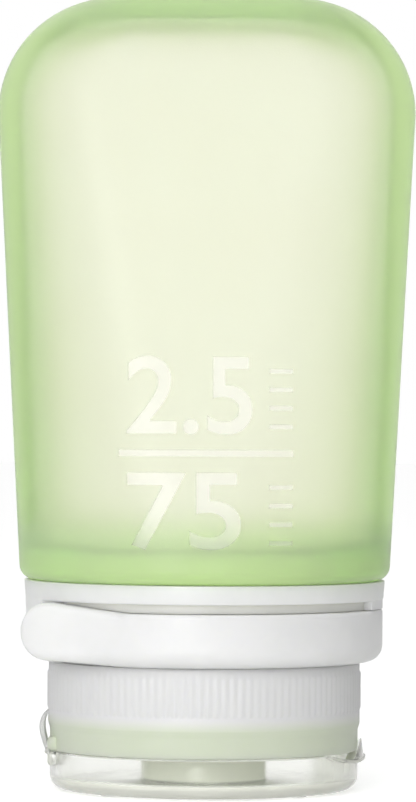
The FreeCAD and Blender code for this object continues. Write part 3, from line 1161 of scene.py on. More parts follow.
    def build(self, material: bpy.types.Material) -> bpy.types.Object:
        """Makes the body.

        Args:
            material: Its silicone.

        Returns:
            The piece.
        """
        obj = work(piece(self.shell(), "silicone_body"), [self.marks()], Cut.CARVE)
        smooth(obj)
        self.mark_zones(obj)
        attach(obj, Body.BOTTLE.value)
        return hand_over(obj, material, Slot.SILICONE, "bottle_body")


@dataclass
class NeckSleeve:
    """Stiff threaded sleeve round the silicone neck."""

    bore: float = 15.05
    radius: float = 16.35
    crest: float = 17.25
    barrel: float = 17.55
    flange: float = 19.55
    bottom: float = 9.05
    barrel_bottom: float = 15.9
    flange_bottom: float = 24.5
    top: float = 25.75
    edge: float = 0.2
    flange_edge: float = 0.15
    pitch: float = 3.0
    thread_margin: float = 1.0
    thread_root: float = 0.25
    segments: int = 192

    def build(self, material: bpy.types.Material) -> bpy.types.Object:
        """Makes the sleeve.

        Args:
            material: Its plastic.

        Returns:
            The piece.
        """
        profile = [
            (self.bore, self.bottom),
            (self.radius - self.edge, self.bottom),
            (self.radius, self.bottom + self.edge),
            (self.radius, self.barrel_bottom),
            (self.barrel, self.barrel_bottom),
            (self.barrel, self.flange_bottom),
            (self.flange - self.flange_edge, self.flange_bottom),
            (self.flange, self.flange_bottom + self.flange_edge),
            (self.flange, self.top),
            (self.bore, self.top),
        ]
        obj = piece(turned(profile, self.segments), "threaded_sleeve")
        ridge = threaded(
            self.radius - self.thread_root, self.crest, self.bottom + self.thread_margin,
            self.barrel_bottom - self.thread_margin, self.pitch,
        )
        work(obj, [piece(ridge, "ridge")], Cut.JOIN)
        smooth(obj)
        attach(obj, Body.BOTTLE.value)
        return hand_over(obj, material, Slot.FROSTED, "neck_sleeve")


@dataclass
class Collar:
    """White ring with its inner tube and the fixed wall behind the hang loop."""

    bore: float = 17.6
    tube: float = 19.05
    tube_edge: float = 0.2
    wall: float = 21.9
    wall_edge: float = 2.3
    ring: float = 22.15
    ring_taper: float = 0.15
    ring_edge: float = 0.1
    ring_low_edge: float = 0.2
    seat: float = 19.6
    bottom: float = 15.9
    ring_bottom: float = 23.5
    seat_bottom: float = 24.45
    top: float = 25.75
    wall_start: float = 23.0
    wall_end: float = 206.0
    ramp_start: float = -142.0
    ramp_end: float = -138.0
    ramp_top: float = 23.2
    slot_start: float = -115.0
    slot_end: float = -22.0
    slot_bottom: float = 22.42
    slot_radius: float = 20.9
    root: float = 0.3
    wall_overlap: float = 0.5
    rim_overlap: float = 0.6
    pivot_radius: float = 20.625
    lug: float = 1.45
    lug_height: float = 1.3
    pocket: float = 2.1
    pin: float = 0.8
    pin_start: float = 0.25
    segments: int = 240
    wall_segments: int = 122

    def pivot(self) -> Point:
        """Place of the loop's pin."""
        angle = math.radians(self.wall_start)
        return self.pivot_radius * math.cos(angle), self.pivot_radius * math.sin(angle)

    def ring_profile(self) -> list[Point]:
        """Profile of the ring and its tube.

        Returns:
            Its (radius, height) points.
        """
        low, edge, foot = self.ring - self.ring_taper, self.ring_edge, self.ring_low_edge
        profile = [
            (self.bore, self.bottom), (self.tube - self.tube_edge, self.bottom),
            (self.tube, self.bottom + self.tube_edge), (self.tube, self.ring_bottom),
        ]
        profile += rounded((low - foot, self.ring_bottom + foot), foot, -90, 0, 4)
        profile += rounded((self.ring - edge, self.top - edge), edge, 0, 90, 5)
        profile += [(self.seat, self.top), (self.seat, self.seat_bottom)]
        profile += [(self.bore, self.seat_bottom)]
        return profile

    def wall_profile(self) -> list[Point]:
        """Profile of the fixed wall, which bites into tube and ring.

        Returns:
            Its (radius, height) points.
        """
        root, far, edge = self.tube - self.root, self.ring - self.ring_taper, self.wall_edge
        profile = [(root, self.bottom + HAIR)]
        profile += rounded((self.wall - edge, self.bottom + edge + HAIR), edge, -90, 0, 9)
        profile += [(far - HAIR, self.ring_bottom)]
        profile += [(far - HAIR, self.ring_bottom + self.wall_overlap)]
        profile += [(root, self.ring_bottom + self.wall_overlap)]
        return profile

    def build(self, material: bpy.types.Material) -> bpy.types.Object:
        """Makes the collar.

        Args:
            material: Its plastic.

        Returns:
            The piece.
        """
        obj = piece(turned(self.ring_profile(), self.segments), "white_collar")
        sweep = self.wall_end - self.wall_start
        lug_top = self.bottom + self.lug_height
        added = {
            "wall": turned(self.wall_profile(), self.wall_segments, self.wall_start, sweep),
            "back": self.over_the_loop(self.slot_radius, self.ramp_start, self.slot_floor),
            "shoulder": self.over_the_loop(
                self.wall, self.slot_end, lambda angle: self.slot_bottom + HAIR
            ),
            "lug": post(self.lug, self.bottom + 2 * HAIR, lug_top - HAIR, self.pivot()),
        }
        work(obj, [piece(mesh, name) for name, mesh in added.items()], Cut.JOIN)
        pocket = post(self.pocket, lug_top, self.slot_bottom + 3 * HAIR, self.pivot())
        core = post(self.tube, self.bottom, self.ring_bottom + 1.0, segments=self.segments)
        room = work(piece(pocket, "pocket"), [piece(core, "core")], Cut.CARVE)
        hole = post(
            self.pin + 5 * HAIR, self.bottom + self.pin_start, self.ring_bottom + 1.05,
            self.pivot(), 48,
        )
        work(obj, [room, piece(hole, "hole")], Cut.CARVE)
        smooth(obj)
        self.paint_slot_light(obj)
        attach(obj, Body.BOTTLE.value)
        return hand_over(obj, material, Slot.WHITE, "collar")

    def slot_floor(self, angle: float) -> float:
        """Lower face of the slot's back, which climbs over the loop's tab.

        Args:
            angle: Degrees from +X.

        Returns:
            Its height.
        """
        share = clamp((self.slot_start - angle) / (self.slot_start - self.ramp_end))
        return self.slot_bottom + share * (self.ramp_top - self.slot_bottom)

    def over_the_loop(
        self, radius: float, start: float, bottom: Callable[[float], float]
    ) -> bmesh.types.BMesh:
        """Rim over the loop.

        Args:
            radius: How far it reaches out.
            start: Degrees at which it starts; it ends just past the pivot.
            bottom: Its lower face at an angle.

        Returns:
            The mesh, in millimetres.
        """
        inner, top = self.tube - self.root, self.ring_bottom + self.rim_overlap
        end = self.wall_start + 0.5
        count = round(end - start)
        sections = []
        for index in range(count + 1):
            angle = start + (end - start) * index / count
            low = bottom(angle)
            corners = ((inner, low), (radius, low), (radius, top), (inner, top))
            sections.append(self.upright(math.radians(angle), corners))
        return ring_chain(sections, 4)

    def upright(self, angle: float, corners: Sequence[Point]) -> Section:
        """Section that stands at an angle.

        Args:
            angle: Radians from +X.
            corners: Its (radius, height) corners.

        Returns:
            The section.
        """
        def place(turn: float) -> Vector:
            """Corner at a share of the way round."""
            out, height = corners[round(turn * len(corners)) % len(corners)]
            return Vector((out * math.cos(angle), out * math.sin(angle), height))
        return place

    def paint_slot_light(self, obj: bpy.types.Object) -> None:
        """Paints the back of the slot for a painted greenish light, which stands in for light through the
        green silicone.

        Args:
            obj: The collar.
        """
        slack = 10 * HAIR
        values = []
        for face in obj.data.polygons:
            x, y, z = in_mm(face.center)
            between = self.slot_bottom - slack < z < self.ring_bottom
            values.append(float(between and math.hypot(x, y) < self.slot_radius + slack))
        paint(obj, "slot", values, "FACE")


@dataclass
class HangLoop:
    """White band that swings out on its pin, with a straight round-ended finger tab."""

    inner: float = 19.35
    outer: float = 21.9
    bottom: float = 15.9
    top: float = 22.35
    edge: float = 2.0
    soft: float = 0.35
    pivot_angle: float = 23.0
    tab_angle: float = -115.0
    tab_length: float = 11.0
    tab_rise: float = 0.8
    tab_radius: float = 3.45
    tab_edge: float = 0.8
    lug_height: float = 1.3
    eye: float = 1.45
    eye_room: float = 0.3
    pin: float = 0.8
    pin_room: float = 0.06
    segments: int = 56
    bend_rows: int = 96
    tab_rows: int = 16
    tip_rows: int = 24

    def station(
        self, origin: Vector, outward: Vector, low: float, high: float, edge: float,
        thin: float = 0.0,
    ) -> Section:
        """Cross section of the band.

        Args:
            origin: Point on the upright axis of the bend, or its foot on the straight tab.
            outward: Direction from the inner face to the outer face.
            low: Lower edge.
            high: Upper edge.
            edge: Rounding of the lower outer edge.
            thin: Depth by which the outer face draws in.

        Returns:
            The section.
        """
        far = self.outer - thin
        height = high - low
        limit = min(height / 2, far - self.inner) * 0.98
        corners = ((far, high), (self.inner, high), (self.inner, low), (far, low))
        upper = min(edge, self.tab_edge) if edge < self.edge else self.soft
        wanted = ((upper, 0.6), (self.soft, 0.35), (self.soft, 0.35), (edge, 0.98))
        radii = [min(value, limit * share) for value, share in wanted]
        outer_pair = radii[0] + radii[3]
        if outer_pair > height:
            radii = [value * height / outer_pair * 0.98 for value in radii]
        outline = RoundedOutline(corners, radii)

        def place(turn: float) -> Vector:
            """Point at a share of the way round the section."""
            distance, level = outline.at(turn)
            return origin + outward * distance + Vector((0, 0, level))
        return place

    def outward(self, degrees: float) -> Vector:
        """Level direction at an angle from +X."""
        angle = math.radians(degrees)
        return Vector((math.cos(angle), math.sin(angle), 0))

    def bend(self) -> list[Section]:
        """Sections of the bend, from the eye round the front to the tab.

        Returns:
            The sections.
        """
        sweep = self.tab_angle - self.pivot_angle
        turns = [self.pivot_angle + sweep * i / self.bend_rows for i in range(self.bend_rows + 1)]
        return [
            self.station(Vector(), self.outward(turn), self.bottom, self.top, self.edge)
            for turn in turns
        ]

    def tab(self) -> list[Section]:
        """Sections of the straight tab, which rises and ends in a half round.

        Returns:
            The sections.
        """
        outward = self.outward(self.tab_angle)
        along = Vector((outward.y, -outward.x, 0))
        length, radius = self.tab_length, self.tab_radius
        middle = (self.bottom + self.top) / 2 + self.tab_rise
        reaches = [length * index / self.tab_rows for index in range(1, self.tab_rows + 1)]
        reaches += [
            length + radius * math.sin(math.pi / 2 * index / self.tip_rows)
            for index in range(1, self.tip_rows)
        ]
        sections = []
        for reach in reaches:
            share = min(1.0, reach / length)
            ease = eased(share)
            low = self.bottom + ease * (middle - radius - self.bottom)
            high = self.top + share * (middle + radius - self.top)
            if reach > length:
                half = math.sqrt(radius ** 2 - (reach - length) ** 2)
                low, high = middle - half, middle + half
            edge = self.edge + ease * (self.tab_edge - self.edge)
            thin = drawn_in(length + radius - reach, self.tab_edge)
            sections.append(self.station(along * reach, outward, low, high, edge, thin))
        return sections

    def build(self, material: bpy.types.Material, pivot: Point) -> bpy.types.Object:
        """Makes the loop.

        Args:
            material: Its plastic.
            pivot: Place of its pin.

        Returns:
            The piece.
        """
        obj = piece(ring_chain(self.bend() + self.tab(), self.segments), "hang_loop_band")
        below, above = self.bottom - 1.0, self.top + 1.0
        eye_bottom = self.bottom + self.lug_height + self.eye_room
        work(obj, [piece(post(self.eye, eye_bottom, self.top, pivot), "eye")], Cut.JOIN)
        room = post(self.eye + self.eye_room, below, eye_bottom, pivot)
        hole = post(self.pin + self.pin_room, below, above, pivot, 48)
        work(obj, [piece(room, "room"), piece(hole, "hole")], Cut.CARVE)
        smooth(obj)
        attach(obj, Body.LOOP.value)
        return hand_over(obj, material, Slot.WHITE, "hang_loop")


@dataclass
class LidHinge:
    """Hinge of the lid: lugs on cap and lid, and the bowed strap between them."""

    axis_x: float = -19.05
    axis_z: float = 5.0
    web: float = 0.35
    web_length: float = 2.6
    web_centre: float = 4.7
    web_reach: float = 5.0
    lug_height: float = 1.7
    lug_inner: float = -17.33
    lug_edge: float = 0.4
    wall: float = 18.9
    strap_width: float = 5.0
    strap_thickness: float = 0.6
    strap_edge: float = 0.15
    strap_top: float = 9.85
    strap_low: float = 3.1
    strap_bow: float = 1.3
    bow_lean: float = 0.625
    bow_ease: float = 1.2
    strap_tilt: float = 0.12
    bend_start: float = 1.2
    bend_end: float = 1.0
    strap_rows: int = 40
    segments: int = 44

    def lugs(self, bottom: float, top: float, room: float) -> list[bpy.types.Object]:
        """Blocks from the wall out to the axis, grooved for the webs.

        Args:
            bottom: Lower face.
            top: Upper face.
            room: Clearance round a web.

        Returns:
            Two blocks.
        """
        blocks = []
        for side in (-1, 1):
            start = side * self.web_centre - self.web_length / 2
            low = (self.axis_x, start, bottom)
            high = (self.lug_inner, start + self.web_length, top)
            web = post(self.web + room, -self.web_reach, self.web_reach, segments=40)
            turn_about(web, 90.0, "X")
            shift(web, (self.axis_x, side * self.web_centre, self.axis_z))
            lug = piece(block(low, high, self.lug_edge), "lug")
            blocks.append(work(lug, [piece(web, "web")], Cut.CARVE))
        return blocks

    def strap(self) -> bmesh.types.BMesh:
        """Bowed strap, rooted on the cap's wall and ending on the lid's wall.

        Returns:
            The mesh, in millimetres.
        """
        sections = []
        for index in range(self.strap_rows + 1):
            share = index / self.strap_rows
            height = self.strap_top + (self.strap_low - self.strap_top) * share
            swell = max(0.0, math.sin(math.pi * share ** self.bow_lean)) ** self.bow_ease
            slope = math.pi * self.strap_tilt * math.cos(math.pi * share)
            reach = self.wall + 2 * HAIR + self.strap_bow * swell
            sections.append(self.strap_section(height, reach, slope))
        return ring_chain(sections, self.segments)

    def strap_section(self, height: float, reach: float, slope: float) -> Section:
        """Section of the strap, across its width.

        Args:
            height: Height of its middle.
            reach: Distance of its outer face from the bottle's axis.
            slope: Tilt of its thickness, radians.

        Returns:
            The section.
        """
        half, thick = self.strap_width / 2, self.strap_thickness
        corners = ((half, thick), (-half, thick), (-half, 0.0), (half, 0.0))
        outline = RoundedOutline(corners, (self.strap_edge,) * 4)

        def place(turn: float) -> Vector:
            """Point at a share of the way round, on the curve of the wall."""
            across, depth = outline.at(turn)
            out = math.sqrt(reach ** 2 - across ** 2) - (thick - depth) * math.cos(slope)
            return Vector((-out, across, height + (thick - depth) * math.sin(slope)))
        return place

    def build(self, material: bpy.types.Material) -> bpy.types.Object:
        """Makes the strap, which bends between cap and lid.

        Args:
            material: Its plastic.

        Returns:
            The piece.
        """
        obj = piece(self.strap(), "bowed_strap")
        smooth(obj)
        x = -(self.wall + self.strap_bow) * MM
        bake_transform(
            obj, Body.CAP.value, Body.LID.value,
            start=(x, 0.0, (self.strap_top - self.bend_start) * MM),
            end=(x, 0.0, (self.strap_low + self.bend_end) * MM),
        )
        return hand_over(obj, material, Slot.CLEAR, "hinge_strap")


@dataclass
class ScrewCap:
    """Milky cap with its deck, nozzle, fine ribs, inside thread and hinge lugs."""

    bottom: float = 5.0
    deck_top: float = 6.4
    top: float = 15.8
    bore: float = 17.6
    wall: float = 18.9
    wall_edge: float = 0.15
    waist: float = 19.15
    swell_heights: tuple[float, ...] = (7.4, 7.7, 8.2, 8.4)
    rib_root: float = 19.1
    rib_crest: float = 19.26
    rib_bottom: float = 9.9
    rib_top: float = 14.7
    rib_gap: float = 0.15
    rib_rise: float = 0.3
    rib_fall: float = 0.25
    ribs: int = 120
    points_to_rib: int = 6
    rim_edge: float = 0.25
    bore_edge: float = 0.2
    deck_edge: float = 0.4
    nozzle: float = 6.8
    nozzle_inner: float = 5.9
    nozzle_bottom: float = 1.6
    nozzle_floor: float = 1.0
    nozzle_edge: float = 0.4
    nozzle_root: float = 0.3
    orifice: float = 3.2
    orifice_edge: float = 0.1
    ridge_crest: float = 16.7
    ridge_root: float = 0.25
    ridge_bottom: float = 11.35
    ridge_margin: float = 1.0
    pitch: float = 3.0
    lug_top: float = 6.9

    def ribbed(self, height: float, share: float) -> Section:
        """Ring of ribs.

        Args:
            height: Millimetres.
            share: How far the ribs stand out, from 0 to 1.

        Returns:
            The section.
        """
        def place(turn: float) -> Vector:
            """Point at a share of the way round."""
            phase = (turn * self.ribs) % 1.0
            lift = (1 - math.cos(2 * math.pi * phase)) / 2
            radius = self.rib_root + (self.rib_crest - self.rib_root) * share * lift
            return on_circle(radius, height)(turn)
        return place

    def outside(self) -> list[Point]:
        """Profile from the orifice round the nozzle and up to the ribs.

        Returns:
            Its (radius, height) points.
        """
        tip, edge = self.nozzle_bottom, self.nozzle_edge
        profile = [(self.orifice, tip + self.orifice_edge), (self.orifice + self.orifice_edge, tip)]
        profile += rounded((self.nozzle - edge, tip + edge), edge, -90, 0, 4)
        profile += [(self.nozzle, self.bottom - self.nozzle_root)]
        profile += [(self.nozzle + self.nozzle_root, self.bottom)]
        edge = self.wall_edge
        profile += rounded((self.wall - edge, self.bottom + edge), edge, -90, 0, 3)
        swell = (self.wall + 2 * HAIR, self.wall + 6 * HAIR, self.waist - 3 * HAIR, self.waist)
        profile += zip(swell, self.swell_heights)
        profile += [(self.waist, self.rib_bottom - self.rib_gap)]
        return profile

    def inside(self) -> list[Point]:
        """Profile from the rim over the ribs down through the bore, deck and nozzle.

        Returns:
            Its (radius, height) points.
        """
        rim, edge, bend = self.rim_edge, self.bore_edge, self.deck_edge
        floor = self.nozzle_bottom + self.nozzle_floor
        profile = rounded((self.rib_root - rim, self.top - rim), rim, 0, 90, 4)
        profile += rounded((self.bore + edge, self.top - edge), edge, 90, 180, 3)
        profile += [(self.bore, self.deck_top + bend), (self.bore - bend, self.deck_top)]
        profile += [(self.nozzle_inner + edge, self.deck_top)]
        profile += [(self.nozzle_inner, self.deck_top - edge)]
        profile += [(self.nozzle_inner, floor), (self.orifice, floor)]
        return profile

    def shell(self) -> bmesh.types.BMesh:
        """Closed skin of the cap, round the outside and back through the inside.

        Returns:
            The mesh, in millimetres.
        """
        ribs = [
            self.ribbed(self.rib_bottom, 0.15), self.ribbed(self.rib_bottom + self.rib_rise, 1.0),
            self.ribbed(self.rib_top - self.rib_fall, 1.0), self.ribbed(self.rib_top, 0.1),
        ]
        chain = circles(self.outside()) + ribs + circles(self.inside())
        return ring_chain(chain, self.ribs * self.points_to_rib, closed=True)

    def build(self, material: bpy.types.Material, hinge: LidHinge) -> bpy.types.Object:
        """Makes the cap.

        Args:
            material: Its plastic.
            hinge: The lid's hinge, which gives its lugs.

        Returns:
            The piece.
        """
        obj = piece(self.shell(), "ribbed_cap")
        ridge = threaded(
            self.bore + self.ridge_root, self.ridge_crest, self.ridge_bottom,
            self.top - self.ridge_margin, self.pitch,
        )
        lugs = hinge.lugs(self.bottom + 3 * HAIR, self.bottom + hinge.lug_height, 0.0)
        work(obj, [piece(ridge, "ridge"), *lugs], Cut.JOIN)
        smooth(obj)
        self.paint_lug_shade(obj)
        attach(obj, Body.CAP.value)
        return hand_over(obj, material, Slot.FROSTED, "screw_cap")

    def paint_lug_shade(self, obj: bpy.types.Object) -> None:
        """Paints the hinge lugs for a painted shade that makes them greyer than the wall, as their fronts
        face the lamps squarely.

        Args:
            obj: The cap.
        """
        values = []
        for vert in obj.data.vertices:
            x, y, height = in_mm(vert.co)
            outside = math.hypot(x, y) > self.wall + 5 * HAIR
            values.append(float(outside and height < self.lug_top))
        paint(obj, "lug", values)


@dataclass
class FlipLid:
    """Clear lid with its sealing skirt, plug, thumb lip and hinge lugs."""

    radius: float = 18.95
    height: float = 4.93
    plate: float = 1.3
    wall: float = 1.1
    edge: float = 1.7
    rim_edge: float = 0.15
    floor_edge: float = 0.5
    pip: float = 1.2
    pip_height: float = 0.15
    pip_circle: float = 15.8
    skirt: float = 7.2
    skirt_wall: float = 0.5
    skirt_top: float = 4.3
    skirt_edge: float = 0.12
    skirt_root: float = 0.3
    plug: float = 2.6
    plug_top: float = 2.4
    plug_edge: float = 0.3
    lip_reach: float = 0.95
    lip_half: float = 37.0
    lip_drop: float = 0.85
    lip_scoop: float = 0.4
    lip_end: float = 0.35
    lip_root: float = 0.5
    lip_edge: float = 0.1
    ledge: float = 0.4
    fin: float = 1.45
    fin_half: float = 16.0
    fin_arch: float = 0.7
    fin_inner: float = 19.2
    fin_thickness: float = 0.2
    fin_foot: float = 0.25
    notch_angle: float = 23.0
    notch_half: float = 4.8
    notch_depth: float = 1.15
    notch_start: float = 2.0
    # Milky zones: partly haze, partly painted light; the lower band is weighted to the front.
    milky_top: float = 1.95
    milky_fade: float = 0.3
    milky_side: float = 14.1
    milky_left: float = -16.6
    milky_share: float = 0.28
    milky_left_most: float = 0.25
    milky_low: float = 0.65
    milky_lip: float = 0.1
    milky_rim: float = 17.0
    segments: int = 240
    lip_rows: int = 72
    lip_points: int = 64

    def cup(self) -> bmesh.types.BMesh:
        """Skin of the lid, from its flat face round the rim to the top of its plug.

        Returns:
            The mesh, in millimetres.
        """
        inner, outer = self.radius - self.wall, self.skirt + self.skirt_wall
        rim, floor, root = self.rim_edge, self.floor_edge, self.skirt_root
        lip, plug = self.skirt_edge, self.plug_edge
        low = self.pip_height + self.edge
        profile = rounded((self.radius - self.edge, low), self.edge, -90, 0, 12)
        profile += [(self.radius, self.milky_top), (self.radius, self.height - rim)]
        profile += [(self.radius - rim, self.height), (inner + rim, self.height)]
        profile += [(inner, self.height - rim), (inner, self.milky_top)]
        profile += rounded((inner - floor, self.plate + floor), floor, 0, -90, 5)
        profile += rounded((outer + root, self.plate + root), root, -90, -180, 3)
        profile += [(outer, self.skirt_top - lip), (outer - lip, self.skirt_top)]
        profile += [(self.skirt + lip, self.skirt_top), (self.skirt, self.skirt_top - lip)]
        profile += [(self.skirt, self.plate), (self.plug, self.plate)]
        profile += [(self.plug, self.plug_top - plug), (self.plug - plug, self.plug_top)]
        return ring_chain(circles(profile), self.segments)

    def pips(self) -> list[bpy.types.Object]:
        """Four low round pips that the lid stands on.

        Returns:
            The four pips.
        """
        reach = self.pip_circle * math.sqrt(0.5)
        places = [(reach, reach), (-reach, reach), (-reach, -reach), (reach, -reach)]
        return [piece(post(self.pip, 0.0, self.plate / 2, place, 48), "pip") for place in places]

    def lip(self) -> bmesh.types.BMesh:
        """Thin scooped ledge with an arched fin turned up past the cap's wall.

        Returns:
            The mesh, in millimetres.
        """
        end_x = self.radius * math.cos(math.radians(self.lip_half))
        tip = self.radius + self.lip_reach
        centre = (tip ** 2 - self.radius ** 2) / (2 * (tip - end_x))
        reach = tip - centre
        sections = []
        for index in range(self.lip_rows + 1):
            angle = self.lip_half * (2 * index / self.lip_rows - 1)
            bend = math.radians(angle)
            far = centre * math.cos(bend) + math.sqrt(reach ** 2 - (centre * math.sin(bend)) ** 2)
            share = abs(angle) / self.lip_half
            scoop = self.lip_drop + self.lip_scoop * math.sin(math.pi * share)
            drop = scoop * math.sqrt(1 - share ** 4)
            arch = math.cos(math.pi / 2 * min(1.0, abs(angle) / self.fin_half))
            low = self.height - max(drop, self.lip_end)
            far = max(far, self.radius + 2 * HAIR)
            sections.append(self.lip_section(bend, far, low, arch ** self.fin_arch))
        return ring_chain(sections, self.lip_points)

    def lip_section(self, angle: float, far: float, low: float, rise: float) -> Section:
        """Section of the thumb lip.

        Args:
            angle: Radians from +X.
            far: Distance of its edge from the lid's axis.
            low: Height of its underside.
            rise: How far the fin stands up here, from 0 to 1.

        Returns:
            The section.
        """
        edge, root = self.lip_edge, self.radius - self.lip_root
        ledge = min(low + self.ledge, self.height - 2 * HAIR)
        top = ledge + rise * (self.height + self.fin - ledge)
        fin_in = min(self.fin_inner, far - edge)
        fin_out = min(fin_in + self.fin_thickness, far - 2 * HAIR)
        foot = min(fin_out + self.fin_foot, far - HAIR)
        corners = (
            (far, low + edge), (far, ledge - 5 * HAIR), (foot, ledge), (fin_out, top + HAIR),
            (fin_in, top - edge * rise), (fin_in - HAIR, ledge), (root, ledge - HAIR),
            (root, low - edge), (far - 15 * HAIR, low - 2 * HAIR),
        )
        following = corners[1:] + corners[:1]
        marks = [0.0]
        for first, second in zip(corners, following):
            marks.append(marks[-1] + math.dist(first, second))

        def place(turn: float) -> Vector:
            """Point at a share of the way round the section."""
            way = turn * marks[-1]
            index = max(i for i in range(len(corners)) if marks[i] <= way + TINY)
            share = (way - marks[index]) / max(TINY, marks[index + 1] - marks[index])
            out, height = Vector(corners[index]).lerp(Vector(following[index]), share)
            return Vector((out * math.cos(angle), out * math.sin(angle), height))
        return place

    def notches(self) -> list[bpy.types.Object]:
        """Cutters of the two shallow thumb notches in the rim, on both sides of the fin.

        Returns:
            Two cutters.
        """
        half, depth = self.notch_half, self.notch_depth
        radius = (half ** 2 + depth ** 2) / (2 * depth)
        start, end = self.radius - self.notch_start, self.fin_inner - 5 * HAIR
        cutters = []
        for side in (-1, 1):
            bar = post(radius, start, end, segments=160)
            turn_about(bar, 90.0, "Y")
            shift(bar, (0, 0, self.height + radius - depth))
            turn_about(bar, side * self.notch_angle, "Z")
            cutters.append(piece(bar, "notch"))
        return cutters

    def build(self, material: bpy.types.Material, hinge: LidHinge) -> bpy.types.Object:
        """Makes the lid.

        Args:
            material: Its plastic.
            hinge: The lid's hinge, which gives its lugs.

        Returns:
            The piece.
        """
        obj = piece(self.cup(), "clear_flip_lid")
        lugs = hinge.lugs(self.height - hinge.lug_height, self.height - 3 * HAIR, 6 * HAIR)
        work(obj, self.notches(), Cut.CARVE)
        work(obj, [piece(self.lip(), "lip"), *self.pips(), *lugs], Cut.JOIN)
        smooth(obj)
        paint(obj, "edge", [self.haze_and_painted_light(*in_mm(vert.co)) for vert in obj.data.vertices])
        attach(obj, Body.LID.value)
        return hand_over(obj, material, Slot.CLEAR, "flip_lid")

    def haze_and_painted_light(self, x: float, y: float, height: float) -> float:
        """How milky the plastic is: lower edge, skirt, lip and sides more than the windows; partly haze,
        partly painted light that brightens the front lower edge.

        Args:
            x: Millimetres.
            y: Millimetres.
            height: Millimetres.

        Returns:
            From 0 to 1.
        """
        slack = 10 * HAIR
        far = math.hypot(x, y)
        if far > self.radius + 2 * HAIR:
            return self.milky_lip if x > 0 else self.milky_low
        if x > self.milky_rim and height > self.height - self.notch_depth - slack:
            return self.milky_low
        if far < self.skirt + self.skirt_wall + slack:
            return float(height > self.plate + slack)
        if far <= self.radius - self.edge:
            return 0.0
        # Lower band weighted to the front: painted light.
        front = clamp(0.5 - y / self.radius)
        low = self.milky_low * front * clamp((self.milky_top - height) / self.milky_fade)
        right = clamp((x - self.milky_side) / self.milky_fade)
        left = min(self.milky_left_most, (self.milky_left - x) / self.milky_fade)
        return max(low, self.milky_share * max(right, left))


class SmallPieces:
    """Pin, hinge webs, valve, retainer and washer, whose solids are kept as they are."""

    def dress(self, finishes: dict[str, bpy.types.Material]) -> None:
        """Gives each kept solid its finish.

        Args:
            finishes: Materials by node.
        """
        for name, material in finishes.items():
            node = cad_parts[name]
            node.data.materials.clear()
            node.data.materials.append(material)
            LOG.info("%s: kept", name)


@dataclass(frozen=True)
class Lamp:
    """Soft square lamp: its place and side in metres, and its power in watts."""

    name: str
    place: tuple[float, float, float]
    size: float
    power: float

    def build(self, target: Sequence[float]) -> None:
        """Hangs the lamp.

        Args:
            target: What it is aimed at, metres.
        """
        data = bpy.data.lights.new(self.name, "AREA")
        data.size = self.size
        data.energy = self.power
        obj = bpy.data.objects.new(self.name, data)
        obj.location = self.place
        aim = Vector(target) - Vector(self.place)
        obj.rotation_euler = aim.to_track_quat("-Z", "Y").to_euler()
        bpy.context.collection.objects.link(obj)


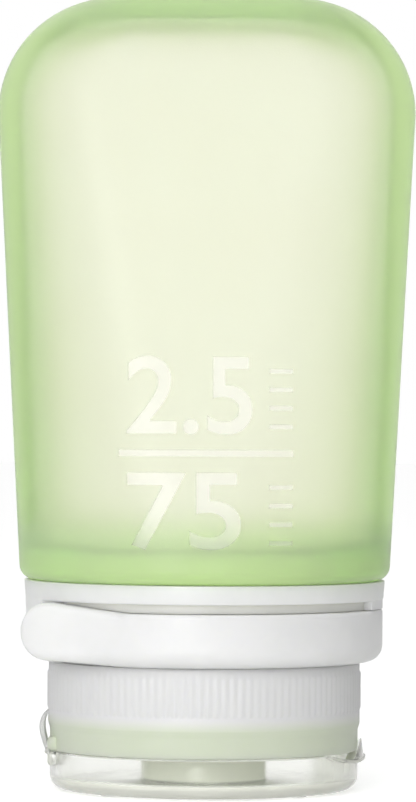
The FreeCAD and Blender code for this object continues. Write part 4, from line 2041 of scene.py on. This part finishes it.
@dataclass
class Studio:
    """Pale floor, white surroundings, soft lamps and the camera."""

    distance: float = 0.570
    eye_height: float = 0.0477
    eye_side: float = 0.0003
    roll: float = 0.3
    lens: float = 208.0
    sensor: float = 36.0
    surround: float = 0.41
    floor_lift: float = 0.55
    floor_grey: float = 0.86
    floor_rough: float = 0.8
    floor_half: float = 3000.0
    floor_drop: float = 0.05
    target: tuple[float, float, float] = (0.0, 0.0, 0.045)
    lamps: tuple[Lamp, ...] = (
        Lamp("key_lamp", (-0.24, -0.86, 0.24), 0.42, 3.6),
        Lamp("low_lamp", (-0.12, -0.62, 0.07), 0.12, 0.4),
        Lamp("top_lamp", (-0.1, -0.3, 0.9), 0.6, 1.5),
    )

    def floor(self) -> None:
        """Pale floor that keeps the bottle's shadow and shows white in gloss and clear pieces."""
        bm = bmesh.new()
        bmesh.ops.create_grid(bm, x_segments=8, y_segments=8, size=self.floor_half)
        shift(bm, (0, 0, -self.floor_drop))
        obj = piece(bm, "studio_floor")
        white = (1.0, 1.0, 1.0, 1.0)
        nodes = Nodes("pale_floor")
        nodes.set(
            Roughness=self.floor_rough, Base_Color=(*(self.floor_grey,) * 3, 1.0),
            Emission_Color=white,
        )
        path = nodes.add("ShaderNodeLightPath")
        lift = nodes.add("ShaderNodeMath")
        lift.operation = "MULTIPLY"
        lift.inputs[1].default_value = self.floor_lift
        nodes.link(path.outputs["Is Camera Ray"], lift.inputs[0])
        nodes.feed("Emission Strength", lift.outputs["Value"])
        shown = nodes.add("ShaderNodeMath")
        shown.operation = "MAXIMUM"
        nodes.link(path.outputs["Is Glossy Ray"], shown.inputs[0])
        nodes.link(path.outputs["Is Transmission Ray"], shown.inputs[1])
        plain = nodes.add("ShaderNodeEmission", Color=white, Strength=1.0)
        mix = nodes.add("ShaderNodeMixShader")
        nodes.link(shown.outputs["Value"], mix.inputs[0])
        nodes.link(nodes.shader.outputs["BSDF"], mix.inputs[1])
        nodes.link(plain.outputs["Emission"], mix.inputs[2])
        nodes.link(mix.outputs["Shader"], nodes.output.inputs["Surface"])
        obj.data.materials.append(nodes.material)

    def surroundings(self) -> None:
        """World that is white where it is seen and gives a softer light."""
        world = bpy.data.worlds.new("white_surroundings")
        bpy.context.scene.world = world
        world.use_nodes = True
        tree = world.node_tree
        back = tree.nodes["Background"]
        back.inputs["Color"].default_value = (1.0, 1.0, 1.0, 1.0)
        path = tree.nodes.new("ShaderNodeLightPath")
        seen = path.outputs["Is Camera Ray"]
        for name in ("Is Glossy Ray", "Is Transmission Ray"):
            either = tree.nodes.new("ShaderNodeMath")
            either.operation = "MAXIMUM"
            tree.links.new(seen, either.inputs[0])
            tree.links.new(path.outputs[name], either.inputs[1])
            seen = either.outputs["Value"]
        level = tree.nodes.new("ShaderNodeMapRange")
        level.inputs["To Min"].default_value = self.surround
        level.inputs["To Max"].default_value = 1.0
        tree.links.new(seen, level.inputs["Value"])
        tree.links.new(level.outputs["Result"], back.inputs["Strength"])

    def camera(self) -> None:
        """Level camera in front of the bottle, turned a little."""
        data = bpy.data.cameras.new("camera")
        data.sensor_fit = "VERTICAL"
        data.sensor_height = self.sensor
        data.lens = self.lens
        data.clip_start = 0.01
        obj = bpy.data.objects.new("camera", data)
        obj.location = (self.eye_side, -self.distance, self.eye_height)
        obj.rotation_euler = (math.pi / 2, -math.radians(self.roll), 0.0)
        bpy.context.collection.objects.link(obj)
        bpy.context.scene.camera = obj

    def build(self) -> None:
        """Sets the scene."""
        bpy.context.scene.view_settings.view_transform = "Standard"
        self.floor()
        self.surroundings()
        for lamp in self.lamps:
            lamp.build(self.target)
        self.camera()


def main() -> None:
    """Builds the bottle's pieces in order, then the studio, and notes the sizes."""
    logging.basicConfig(level=logging.INFO, format="%(message)s")
    white = WhitePlastic().material()
    # The loop takes the same white plastic painted a shade darker: painted shade, as the low lamp lights the
    # band more than the ring.
    shaded_loop_white = WhitePlastic(
        "white_loop_plastic_painted_shade", (0.82, 0.825, 0.815), (0.86, 0.86, 0.85)
    ).material()
    frosted = FrostedPlastic().material()
    strap = FrostedPlastic(
        "whitish_hinge_plastic", green=(1.0, 1.0, 1.0), through=0.5
    ).material()
    clear = ClearPlastic().material()
    valve = SoftSilicone().material()
    collar = Collar()
    hinge = LidHinge()
    SqueezeBody().build(FrostedSilicone().material())
    NeckSleeve().build(frosted)
    collar.build(white)
    HangLoop().build(shaded_loop_white, collar.pivot())
    ScrewCap().build(frosted, hinge)
    FlipLid().build(clear, hinge)
    hinge.build(strap)
    SmallPieces().dress({
        "loop_pin": white,
        "film_hinges": clear,
        "slit_valve": valve,
        "sealing_washer": valve,
        "valve_retainer": frosted,
    })
    Studio().build()


if __name__ == "__main__":
    main()
